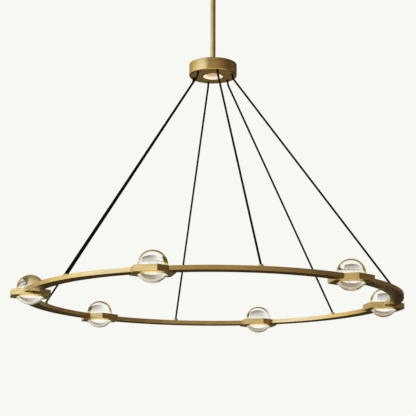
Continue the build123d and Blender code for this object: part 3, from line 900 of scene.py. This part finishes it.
@dataclass
class Ceiling(Assembly):
    """Canopy and collar at the ceiling, with the fixings inside."""

    canopy_radius: float = 74.0 * MM
    canopy_height: float = 30.0 * MM
    canopy_wall: float = 1.6 * MM
    canopy_edge: float = 1.6 * MM
    canopy_sides: int = 192
    hole_radius: float = 5.3 * MM
    collar_radius: float = 13.0 * MM
    collar_height: float = 7.0 * MM
    collar_groove: float = 1.0 * MM
    collar_edge: float = 0.5 * MM
    collar_sides: int = 96
    thread_radius: float = 5.1 * MM

    def build(self) -> None:
        """Make the canopy and the collar, and dress what they hide."""
        outer, floor = self.canopy_radius, -self.canopy_height
        inner, inside = outer - self.canopy_wall, floor + self.canopy_wall
        cup = [
            (self.hole_radius, floor), (outer, floor), (outer, 0.0),
            (inner, 0.0), (inner, inside), (self.hole_radius, inside),
        ]
        canopy = Surface.lathe(rounded(cup, self.canopy_edge), self.canopy_sides)
        self.piece("canopy_cup", canopy, Slot.BRASS, "canopy", Body.CEILING)
        rim, groove, low = self.collar_radius, self.collar_groove, floor - self.collar_height
        middle = low + self.collar_height / 2
        turned = [
            (self.thread_radius, floor), (rim, floor), (rim, middle + groove), (rim - groove, middle),
            (rim, middle - groove), (rim, low), (self.thread_radius, low),
        ]
        collar = Surface.lathe(rounded(turned, self.collar_edge), self.collar_sides)
        self.piece("turned_collar", collar, Slot.BRASS, "canopy_collar", Body.CEILING)
        self.dress(Slot.STEEL, "crossbar", "crossbar_nipple", "crossbar_nut")
        self.dress(Slot.DRIVER, "led_driver")


@dataclass
class Stem(Assembly):
    """Swivel and stem between ceiling and hub."""

    radius: float = 8.0 * MM
    bore: float = 5.1 * MM
    top: float = -76.8 * MM
    low: float = -380.8 * MM
    edge: float = 0.5 * MM
    sides: int = 96

    def build(self) -> None:
        """Make the stem, and dress the swivel."""
        tube = rounded(band(self.bore, self.radius, self.low, self.top), self.edge)
        self.piece("stem_tube", Surface.lathe(tube, self.sides), Slot.BRASS, "stem")
        self.dress(Slot.BRASS, "swivel_yoke", "trunnion_screws", "swivel_fitting")
        self.dress(Slot.STEEL, "stem_nipple")


@dataclass
class Hub(Assembly):
    """Hub drum with its underside plate and the downlight."""

    radius: float = 75.5 * MM
    top: float = -380.8 * MM
    low: float = -418.8 * MM
    wall: float = 3.0 * MM
    roof: float = 4.0 * MM
    edge: float = 0.8 * MM
    fine_edge: float = 0.25 * MM
    chamfer: float = 1.6 * MM
    hole: float = 5.1 * MM
    drum_sides: int = 256
    plate_low: float = -418.3 * MM
    plate_top: float = -415.3 * MM
    mouth: float = 30.5 * MM
    mouth_lip: float = 1.5 * MM
    throat: float = 17.5 * MM
    reflector_wall: float = 1.5 * MM
    reflector_flange: float = 5.0 * MM
    reflector_edge: float = 0.3 * MM
    reflector_sides: int = 160
    cup_radius: float = 27.0 * MM
    cup_top: float = -401.7 * MM
    lens_radius: float = 21.0 * MM
    lens_gap: float = 0.1 * MM
    lens_low: float = -405.3 * MM
    lens_top: float = -403.3 * MM
    lens_sides: int = 96

    def build(self) -> None:
        """Make the drum, the reflector and the lens, and dress the rest."""
        lens = band(0.0, self.lens_radius, self.lens_low, self.lens_top)
        disc = Surface.lathe(lens, self.lens_sides, closed=False)
        self.piece("hub_drum", self._drum(), Slot.BRASS, "hub_housing")
        self.piece("reflector_cone", self._reflector(), Slot.REFLECTOR, "downlight_reflector")
        self.piece("opal_disc", disc, Slot.LENS, "downlight_lens")
        # The plate and its screws take the satin brass, whose extra lightness is painted light.
        self.dress(Slot.BRASS, "hub_plate", "plate_screws", special=self.palette.underside)
        self.dress(Slot.NYLON, "hub_cord_grips")
        self.dress(Slot.BOARD, "downlight_led_board")
        self.dress(Slot.SINK, "downlight_heat_sink")
        self.dress(Slot.STEEL, "hub_nut", "heat_sink_screws")

    def _drum(self) -> Surface:
        """Drum that is open below, as one closed profile with a rounded upper edge.

        Returns:
            The drum's surface.
        """
        inside, ceiling = self.radius - self.wall, self.top - self.roof
        profile = [
            (self.hole, ceiling), (inside, ceiling), (inside, self.low),
            (self.radius - self.chamfer, self.low), (self.radius, self.low + self.chamfer),
            (self.radius, self.top), (self.hole, self.top),
        ]
        upper = (self.radius, self.top)
        edges = [self.edge if corner == upper else self.fine_edge for corner in profile]
        return Surface.lathe(rounded(profile, edges), self.drum_sides)

    def _reflector(self) -> Surface:
        """Cone with a flange on the plate and a cup for the lens, as one closed profile.

        Returns:
            The reflector's surface.
        """
        outer = self.mouth + self.reflector_wall
        flange, shelf = outer + self.reflector_flange, self.plate_top + self.reflector_wall
        rim, cup = self.plate_low - self.mouth_lip, self.lens_radius + self.lens_gap
        profile = [
            (self.mouth, rim), (outer, rim), (outer, self.plate_top), (flange, self.plate_top),
            (flange, shelf), (self.mouth, shelf), (self.cup_radius, self.lens_low - self.reflector_wall),
            (self.cup_radius, self.cup_top), (cup, self.cup_top), (cup, self.lens_low),
            (self.throat, self.lens_low),
        ]
        return Surface.lathe(rounded(profile, self.reflector_edge, steps=2), self.reflector_sides)


@dataclass
class Cords(Assembly):
    """Six taut cords from the hub's underside to the ring, and the ferrules that they end in."""

    count: int = 6
    diameter: float = 6.2 * MM
    first_angle: float = 30.0
    length: float = 875.2 * MM
    exit_radius: float = 63.0 * MM
    exit_height: float = -418.3 * MM
    route: tuple[Pair, ...] = (
        (63.0 * MM, -405.3 * MM), (63.0 * MM, -428.3 * MM), (76.3 * MM, -447.1 * MM),
        (555.3 * MM, -1124.7 * MM),
    )
    route_steps: int = 24
    sides: int = 20
    crease: float = 60.0

    def build(self) -> None:
        """Make the cords, and dress the ferrules and the nuts on their necks."""
        for number in range(1, self.count + 1):
            angle = self.first_angle + 360 * (number - 1) / self.count
            path = self._path(angle)
            tube = self._tube(path, angle)
            name, node = f"braided_cord_{number}", f"cord_{number}"
            cord = self.piece(name, tube, Slot.CORD, node, crease=self.crease)
            self.dress(Slot.BRASS, f"ring_ferrule_{number}")
        self.dress(Slot.STEEL, "ferrule_nuts")

    def _path(self, angle: float) -> np.ndarray:
        """Points along a cord, read from a smooth spline through its route.

        The route's points of radius and height are the control points of a NURBS spline of order 3, in the
        upright plane at the angle.

        Args:
            angle: the plane's angle about Z, in degrees.

        Returns:
            Array of points.
        """
        curve = bpy.data.curves.new("cord_route", "CURVE")
        curve.dimensions = "3D"
        curve.resolution_u = self.route_steps
        spline = curve.splines.new("NURBS")
        spline.points.add(len(self.route) - 1)
        c, s, _ = heading(angle)
        for point, (radius, height) in zip(spline.points, self.route):
            point.co = (radius * c, radius * s, height, 1.0)
        spline.order_u = 3
        spline.use_endpoint_u = True
        guide = placed("cord_route", curve)
        bpy.context.view_layer.update()
        line = bpy.data.meshes.new_from_object(guide)
        points = np.zeros(len(line.vertices) * 3)
        line.vertices.foreach_get("co", points)
        bpy.data.objects.remove(guide)
        bpy.data.curves.remove(curve)
        bpy.data.meshes.remove(line)
        return points.reshape(-1, 3)

    def _tube(self, path: np.ndarray, angle: float) -> Surface:
        """Round tube along a path that lies in an upright plane.

        Across each point of the path stands a circle: point + r·(cos t·n + sin t·b). b is square to the
        plane, and n to b and to the path. Both ends close on the path's own end points.

        Args:
            path: points along the middle of the tube.
            angle: the plane's angle about Z, in degrees.

        Returns:
            The tube's surface, whose chart runs in metres along the cord.
        """
        tangent = np.gradient(path, axis=0)
        tangent /= np.linalg.norm(tangent, axis=1, keepdims=True)
        c, s, _ = heading(angle)
        side = np.array([-s, c, 0.0])
        normal = np.cross(side[None, :], tangent)
        turn = (2 * np.pi * np.arange(self.sides) / self.sides)[None, :, None]
        rings = np.cos(turn) * normal[:, None, :] + np.sin(turn) * side[None, None, :]
        radius = np.full(len(path) + 2, self.diameter / 2)
        radius[[0, -1]] = 0.0
        spine = np.concatenate([path[:1], path, path[-1:]])
        rings = np.concatenate([rings[:1], rings, rings[-1:]])
        tube = Surface.grid(spine[:, None, :] + radius[:, None, None] * rings)
        steps = np.linalg.norm(np.diff(spine, axis=0), axis=1)
        along = np.concatenate([[0.0], np.cumsum(steps)])
        tube.chart[:, :, 1] = along[tube.chart[:, :, 1].astype(int)]
        return tube


@dataclass
class Ring(Assembly):
    """Six arcs of flat bar between the lights, and the screws on top of them."""

    radius: float = 556.9 * MM
    middle: float = -1133.65 * MM
    width: float = 41.0 * MM
    height: float = 12.5 * MM
    edge: float = 0.4 * MM
    gap: float = 0.1 * MM
    stations: int = 73
    lanes: int = 14
    rounds: int = 12
    screw_angle: float = 7.6975
    screw_radius: float = 1.5 * MM
    screw_length: float = 5.0 * MM
    screw_edge: float = 0.2 * MM
    screw_sides: int = 32
    head_radius: float = 2.7 * MM
    head_height: float = 2.0 * MM
    socket_radius: float = 1.3 * MM
    socket_depth: float = 1.2 * MM
    proud: float = 0.05 * MM

    def build(self) -> None:
        """Make the arcs and the screws."""
        arc = self._arc()
        for index in range(LIGHT_COUNT):
            bar, node = f"ring_bar_{index + 1}", f"ring_arc_{index + 1}"
            turned = arc.turned(360 * (index + 0.5) / LIGHT_COUNT)
            self.piece(bar, turned, Slot.BRASS, node, bevel=self.edge)
        screw = self._screw().moved(self.radius, 0.0, self.middle + self.height / 2)
        screws = Surface.joined([screw.repeated(LIGHT_COUNT, side * self.screw_angle) for side in (-1, 1)])
        self.piece("socket_screws", screws, Slot.STEEL, "arc_screws")

    def _screw(self) -> Surface:
        """Screw with a round socket in its head, as a lathe form whose head ends at the height 0.

        Returns:
            The screw's surface.
        """
        socket, head, edge = self.socket_radius, self.head_radius, self.screw_edge
        deep, under, end = -self.socket_depth, -self.head_height, -self.screw_length
        profile = [
            (0.0, deep), (socket, deep), (socket, -edge), (socket + edge, 0.0), (head - edge, 0.0),
            (head, -edge), (head, under), (self.screw_radius, under), (self.screw_radius, end), (0.0, end),
        ]
        return Surface.lathe(profile, self.screw_sides, closed=False)

    def _arc(self) -> Surface:
        """Bar along an arc of 60 degrees, with both ends cut to the corner of a hexagon.

        A lane at the distance p from the bar's middle line lies on the radius R + p. It ends where it meets
        the hexagon's sides: y = c - |x|·tan 30, with x = (R + p)·cos a - L and y = (R + p)·sin a. L is the
        light's distance from the axis, a the angle from the light and c the corner's distance from the
        light. A few rounds of a = asin(y / (R + p)) find that angle.

        Returns:
            The bar's closed surface, its middle at the angle 0.
        """
        corner = (SETTING_FLATS / 2 + self.gap) * 2 / math.sqrt(3)
        tip = math.hypot(LIGHT_CIRCLE, corner) - self.radius
        half = self.width / 2
        lanes = np.sort(np.append(np.linspace(-half, half, self.lanes), tip))
        reach = self.radius + lanes
        end = np.full(len(lanes), corner / self.radius)
        for _ in range(self.rounds):
            sideways = np.abs(reach * np.cos(end) - LIGHT_CIRCLE)
            end = np.arcsin((corner - sideways * math.tan(math.radians(30))) / reach)
        limit = math.pi / LIGHT_COUNT - end
        reach, limit = (np.concatenate([part, part[::-1]]) for part in (reach, limit))
        level = self.middle + np.repeat([self.height / 2 - self.proud, -self.height / 2], len(lanes))
        turn = np.linspace(-1.0, 1.0, self.stations)[:, None] * limit[None, :]
        level = np.broadcast_to(level, turn.shape)
        bar = Surface.grid(np.stack([reach * np.cos(turn), reach * np.sin(turn), level], axis=2))
        across = np.arange(len(lanes) - 1)
        last = 2 * len(lanes) - 1
        cap = np.stack([across, across + 1, last - across - 1, last - across], axis=1)
        caps = np.concatenate([cap, cap + (self.stations - 1) * 2 * len(lanes)])
        faces = np.concatenate([bar.faces, caps])
        return Surface(bar.points, faces, np.concatenate([bar.chart, np.zeros((len(caps), 4, 2))]))


@dataclass
class Lights(Assembly):
    """Six lights: hexagonal settings, round crystals, and the rings in the settings' bores."""

    middle: float = -1136.4 * MM
    height: float = 18.0 * MM
    edge: float = 0.5 * MM
    dome: float = 41.5 * MM
    dome_rise: float = 15.5 * MM
    dome_steps: int = 65
    bowl: float = 46.0 * MM
    bowl_rise: float = 13.9 * MM
    bowl_steps: int = 49
    crystal_sides: int = 192
    lip_height: float = 3.0 * MM
    skirt_height: float = 2.0 * MM
    skirt_margin: float = 5.0 * MM
    skirt_rim: float = 1.2 * MM
    gasket_height: float = 2.0 * MM
    bezel_height: float = 3.0 * MM
    bezel_ledge: float = 1.1 * MM
    bezel_edge: float = 0.4 * MM
    seat_gap: float = 0.3 * MM
    fit_gap: float = 0.1 * MM
    led_gap: float = 0.6 * MM
    led_thickness: float = 2.0 * MM
    sides: int = 144

    def build(self) -> None:
        """Make the settings, the crystals and the LED and bezel rings, and dress the gaskets."""
        setting, crystal, strip, bezel = (
            form.moved(LIGHT_CIRCLE, 0.0, self.middle)
            for form in (self._setting(), self._crystal(), self._strip(), self._bezel())
        )
        for number in range(1, LIGHT_COUNT + 1):
            angle = 360 * (number - 1) / LIGHT_COUNT
            name, node = f"hexagon_setting_{number}", f"light_setting_{number}"
            # The settings take the brass with painted light from the bore.
            lit = self.palette.lit_brass
            self.piece(name, setting.turned(angle), Slot.BRASS, node, bevel=self.edge, special=lit)
            name, node = f"domed_crystal_{number}", f"crystal_{number}"
            self.piece(name, crystal.turned(angle), Slot.CRYSTAL, node)
        strips = self.piece("diode_strips", strip.repeated(LIGHT_COUNT), Slot.STRIP, "led_rings")
        strips.visible_glossy = False
        self.piece("bezel_bands", bezel.repeated(LIGHT_COUNT), Slot.BRASS, "bezel_rings")
        self.dress(Slot.GASKET, "crystal_gaskets")

    @property
    def shelf(self) -> float:
        """Level of the bezel's underside, on which the crystal's shoulder lies too."""
        return self.height / 2 - self.bezel_height

    @property
    def bore(self) -> float:
        """Radius of the bore round the LED ring."""
        return self.girth(self.shelf) + self.led_gap + self.led_thickness + self.fit_gap

    def girth(self, height: float) -> float:
        """Radius of the crystal's lower dome at a height over the ring's middle."""
        return math.sqrt(self.bowl**2 - (height - self.bowl_rise) ** 2)

    def _setting(self) -> Surface:
        """Hexagonal block with a stepped round bore and a conical collar below.

        Each row of the grid is a closed line round the block: a circle of a given radius, or the hexagon
        r = flats/2 / cos(d), d being the angle to the middle of the nearest side.

        Returns:
            The closed surface, centred on the ring's middle.
        """
        low, top = -self.height / 2, self.height / 2
        lip, skirt = low + self.lip_height, low - self.skirt_height
        bezel = self.bore + self.bezel_ledge
        opening = self.girth(skirt) + self.seat_gap
        turn = 2 * np.pi * np.arange(self.sides) / self.sides
        side = np.pi / 3
        hexagon = SETTING_FLATS / 2 / np.cos((turn + side / 2) % side - side / 2)
        rows = (
            (hexagon, low),
            (hexagon, top),
            (bezel, top),
            (bezel, self.shelf),
            (self.bore, self.shelf),
            (self.bore, lip),
            (self.girth(lip) + self.seat_gap, lip),
            (self.girth(low) + self.seat_gap, low),
            (opening, skirt),
            (opening + self.skirt_rim, skirt),
            (SETTING_FLATS / 2 - self.skirt_margin, low),
        )
        lines = [(reach * np.cos(turn), reach * np.sin(turn), 0.0 * turn + level) for reach, level in rows]
        return Surface.grid(np.stack([np.stack(line, axis=1) for line in lines]), wrap_rows=True)

    def _crystal(self) -> Surface:
        """Crystal as a lathe form: lower dome, shoulder under the bezel, and upper dome.

        A dome's points are r = R·cos t and z = c + R·sin t, c being its centre's height. The lower one runs
        from t = -90 degrees to the shoulder's level, the upper one from that level to t = 90 degrees.

        Returns:
            The closed surface, centred on the ring's middle.
        """
        pole = math.pi / 2
        bowl_end = math.asin((self.shelf - self.bowl_rise) / self.bowl)
        dome_start = math.asin((self.shelf - self.dome_rise) / self.dome)
        domes = (
            (self.bowl, self.bowl_rise, np.linspace(-pole, bowl_end, self.bowl_steps)),
            (self.dome, self.dome_rise, np.linspace(dome_start, pole, self.dome_steps)),
        )
        radius = np.concatenate([size * np.cos(turn) for size, _, turn in domes])
        height = np.concatenate([rise + size * np.sin(turn) for size, rise, turn in domes])
        radius[[0, -1]] = 0.0
        return Surface.lathe(list(zip(radius, height)), self.crystal_sides, closed=False)

    def _strip(self) -> Surface:
        """Lit band that stands on the gasket round the crystal, as one closed profile.

        Returns:
            The band's surface, centred on the ring's middle.
        """
        outer = self.bore - self.fit_gap
        low = -self.height / 2 + self.lip_height + self.gasket_height
        return Surface.lathe(band(outer - self.led_thickness, outer, low, self.shelf), self.sides)

    def _bezel(self) -> Surface:
        """Band that closes the bore on top, as one closed profile with rounded edges.

        Returns:
            The band's surface, centred on the ring's middle.
        """
        inner, outer = self.dome + self.seat_gap, self.bore + self.bezel_ledge - self.fit_gap
        profile = band(inner, outer, self.shelf + self.fit_gap, self.height / 2)
        return Surface.lathe(rounded(profile, self.bezel_edge, steps=3), self.sides)


def stage_plate(name: str, corners: list[Vector], material: Material, unseen: tuple[str, ...]) -> None:
    """Make a flat stage piece, whose chart is the unit square.

    Args:
        name: the piece's name.
        corners: its four corners in order.
        material: its material.
        unseen: kinds of rays that pass it by.
    """
    mesh = bpy.data.meshes.new(name)
    mesh.from_pydata(corners, [], [(0, 1, 2, 3)])
    mesh.uv_layers.new(name=CHART).data.foreach_set("uv", [0.0, 0.0, 1.0, 0.0, 1.0, 1.0, 0.0, 1.0])
    mesh.materials.append(material)
    plate = placed(name, mesh)
    for ray in unseen:
        setattr(plate, "visible_" + ray, False)


@dataclass(frozen=True)
class PaleFloor(Finish):
    """Pale floor with faint clouds, which is lit a little by itself."""

    light: Colour = (0.86, 0.86, 0.84)
    dark: Colour = (0.80, 0.80, 0.78)
    clouds: float = 0.6
    octaves: float = 3.0
    roughness: float = 0.8
    glow: Colour = (0.93, 0.95, 1.0)
    strength: float = 0.42

    def paint(self, coat: Coat) -> None:
        """Tint the floor by its clouds.

        Args:
            coat: node tree of the material.
        """
        clouds = coat.noise(coat.place(), self.clouds, self.octaves)
        coat.feed({
            "Base Color": coat.blend(clouds, self.light, self.dark),
            "Roughness": self.roughness,
            "Emission Color": self.glow,
            "Emission Strength": self.strength,
        })


@dataclass(frozen=True)
class Card(Finish):
    """Dark card at the edge of the pale backdrop, which only shows through the crystals.

    It spans from a starting edge to an ending edge, each at a distance behind the axis and a height. The
    tone's share over the backdrop's colour is the product of one ramp along the card and one across it.
    """

    start: Pair
    end: Pair
    across: Pair
    tone: Colour
    fall: Stops
    sides: Stops

    def paint(self, coat: Coat) -> None:
        """Blend the tone over the backdrop's colour.

        Args:
            coat: node tree of the material.
        """
        across, along, _ = coat.chart()
        share = coat.filtered(coat.ramp(across, self.sides), coat.ramp(along, self.fall))
        coat.feed({
            "Base Color": BLACK,
            "Specular IOR Level": 0.0,
            "Emission Color": coat.blend(share, BACKDROP, self.tone),
            "Emission Strength": 1.0,
        })

    def build(self, right: Vector, away: Vector) -> None:
        """Make the card.

        Args:
            right: level direction to the right of the camera.
            away: level direction away from the camera.
        """
        left_end, right_end = self.across
        spots = ((self.start, left_end), (self.start, right_end), (self.end, right_end), (self.end, left_end))
        corners = [far * away + high * UP + side * right for (far, high), side in spots]
        stage_plate(self.name, corners, self.material(), ("camera", "diffuse", "glossy", "shadow"))


@dataclass
class Studio:
    """Pale floor, soft light from the left, and the camera of the picture."""

    azimuth: float = -13.34
    camera_distance: float = 3.8188
    camera_height: float = -1.7018
    pitch: float = 12.615
    yaw: float = -0.218
    roll: float = 0.160
    focal_length: float = 109.26
    sensor: float = 36.0
    farthest: float = 200.0
    floor_level: float = -2.6
    floor_reach: float = 40.0
    ring_light: Stops = (
        (-180.0, 0.8), (-150.0, 0.5), (-136.0, 0.34), (-100.0, 0.8), (-65.0, 1.0), (-46.0, 0.98),
        (-32.0, 0.9), (-27.5, 0.33), (12.0, 0.37), (45.0, 0.21), (80.0, 0.09), (98.0, 0.14), (140.0, 0.09),
        (172.0, 0.06), (180.0, 0.2),
    )
    ring_low: Pair = (-0.06, 0.05)
    ring_high: Pair = (0.44, 0.66)
    ring_gain: Pair = (1.5, 1.04)
    gain_range: Pair = (0.14, 0.32)
    light_tints: Stops = (
        (0.06, (1.0, 0.78, 0.58)), (0.3, (1.0, 0.93, 0.70)), (0.5, (1.0, 0.95, 0.70)),
        (0.8, (1.0, 1.02, 0.78)), (1.0, (1.0, 1.2, 1.75)),
    )
    overhead_range: Pair = (0.66, 0.80)
    overhead: Pair = (0.06, 0.45)
    overhead_tint: Colour = (1.0, 0.80, 0.38)
    below_range: Pair = (-0.64, -0.88)
    below: Pair = (0.022, 0.7)
    key_size: Pair = (2.4, 1.8)
    key_energy: float = 90.0
    key_tint: Colour = (1.0, 0.97, 0.92)
    key_place: Triple = (-2.6, -1.6, 0.6)
    key_aim: float = -1.0
    cards: tuple[Card, ...] = (
        Card(
            "ceiling_card", (2.8, 1.16), (-2.5, 1.16), (-2.6, 3.2), (0.24, 0.145, 0.055),
            fall=((0.0, 0.9), (0.08, 1.0), (0.3, 0.95), (0.47, 0.6), (1.0, 0.35)),
            sides=((0.0, 0.1), (0.4, 0.9), (1.0, 1.0)),
        ),
        Card(
            "wall_card", (3.19, -2.42), (3.19, -0.95), (-1.5, 2.1), (0.13, 0.068, 0.02),
            fall=((0.0, 1.0), (0.2, 0.8), (0.55, 0.5), (1.0, 0.18)),
            sides=((0.0, 0.0), (0.3, 0.7), (0.5, 1.0), (1.0, 1.0)),
        ),
    )

    def axes(self) -> tuple[Vector, Vector]:
        """Level directions of the picture, to the right and away from the camera."""
        away = Vector(heading(self.azimuth + 90))
        return away.cross(UP), away

    def build(self) -> None:
        """Set up floor, cards, world, key light, camera and colour handling."""
        self._floor()
        for card in self.cards:
            card.build(*self.axes())
        self._world()
        self._key()
        self._camera()
        settings = bpy.context.scene.view_settings
        settings.view_transform = "Standard"
        settings.look = "None"

    def _floor(self) -> None:
        """Wide pale floor under the chandelier."""
        spots = ((-1, -1), (1, -1), (1, 1), (-1, 1))
        corners = [Vector((x * self.floor_reach, y * self.floor_reach, self.floor_level)) for x, y in spots]
        paint = PaleFloor("pale_floor").material()
        stage_plate("floor", corners, paint, ("diffuse", "glossy", "transmission"))

    def _world(self) -> None:
        """Light of the studio by direction.

        The camera meets an even pale backdrop, also through the crystals. Reflections and soft light meet a
        ring of light whose strength follows the level angle from the camera: a broad bright screen to the
        left, dark on the right, pale behind, and strongest low down. Over and under that ring it is dark
        and warm, with a golden patch overhead and a pale one straight below. The brighter the light, the
        cooler its tint.
        """
        world = bpy.data.worlds.new("studio")
        bpy.context.scene.world = world
        world.use_nodes = True
        world.node_tree.nodes.clear()
        sheet = Sheet(world.node_tree)
        right, away = self.axes()
        direction = sheet.add("TexCoord", {}).outputs["Generated"]
        height = sheet.split(direction)[2]
        angle = sheet.maths("ARCTAN2", sheet.dot(direction, tuple(right)), sheet.dot(direction, tuple(-away)))
        stops = tuple(((degrees + 180) / 360, strength) for degrees, strength in self.ring_light)
        ring = sheet.ramp(sheet.span(angle, (-math.pi, math.pi)), stops)
        level = sheet.ease(height, self.ring_low)
        fade = sheet.times(level, sheet.ease(height, self.ring_high, FALLING))
        patch = sheet.ease(height, self.overhead_range)
        below = sheet.ease(height, self.below_range, self.below)
        rest = sheet.blend(level, below, sheet.span(patch, end=self.overhead))
        amount = sheet.blend(fade, rest, ring)
        tint = sheet.blend(patch, sheet.ramp(amount, self.light_tints), self.overhead_tint)
        gain = sheet.span(height, self.gain_range, self.ring_gain)
        lit = sheet.filtered(tint, sheet.filtered(amount, gain))
        ray = sheet.add("LightPath", {}).outputs
        plain = sheet.larger(ray["Is Camera Ray"], ray["Is Transmission Ray"])
        background = sheet.add("Background", {"Color": sheet.blend(plain, lit, BACKDROP)})
        sheet.add("OutputWorld", {"Surface": background.outputs[0]})

    def _key(self) -> None:
        """Large soft light from above on the left, for the floor and the matt surfaces."""
        right, away = self.axes()
        light = bpy.data.lights.new("key", "AREA")
        light.shape = "RECTANGLE"
        light.size, light.size_y = self.key_size
        light.energy = self.key_energy
        light.color = self.key_tint
        key = placed("key", light)
        across, behind, high = self.key_place
        place = across * right + behind * away + high * UP
        aim = self.key_aim * UP - place
        key.matrix_world = Matrix.Translation(place) @ aim.to_track_quat("-Z", "Y").to_matrix().to_4x4()
        key.visible_glossy = False

    def _camera(self) -> None:
        """Camera below the ring, at the picture's place and angle."""
        right, away = self.axes()
        yaw, pitch, roll = (math.radians(angle) for angle in (self.yaw, self.pitch, self.roll))
        ahead = math.cos(pitch) * (math.sin(yaw) * right + math.cos(yaw) * away) + math.sin(pitch) * UP
        level = ahead.cross(UP).normalized()
        across = math.cos(roll) * level + math.sin(roll) * level.cross(ahead)
        turn = Matrix((across, across.cross(ahead), -ahead)).transposed()
        data = bpy.data.cameras.new("camera")
        data.sensor_fit = "HORIZONTAL"
        data.sensor_width = self.sensor
        data.lens = self.focal_length
        data.clip_end = self.farthest
        camera = placed("camera", data)
        place = -self.camera_distance * away + self.camera_height * UP
        camera.matrix_world = Matrix.Translation(place) @ turn.to_4x4()
        bpy.context.scene.camera = camera


def main() -> None:
    """Build the studio and every sub-assembly, in order from the ceiling down."""
    logging.basicConfig(level=logging.INFO, format="%(name)s: %(message)s")
    Studio().build()
    palette = Palette()
    for assembly in (Ceiling, Stem, Hub, Cords, Ring, Lights):
        assembly(palette).build()
        LOG.info("%s is built", assembly.__name__)


if __name__ == "__main__":
    main()
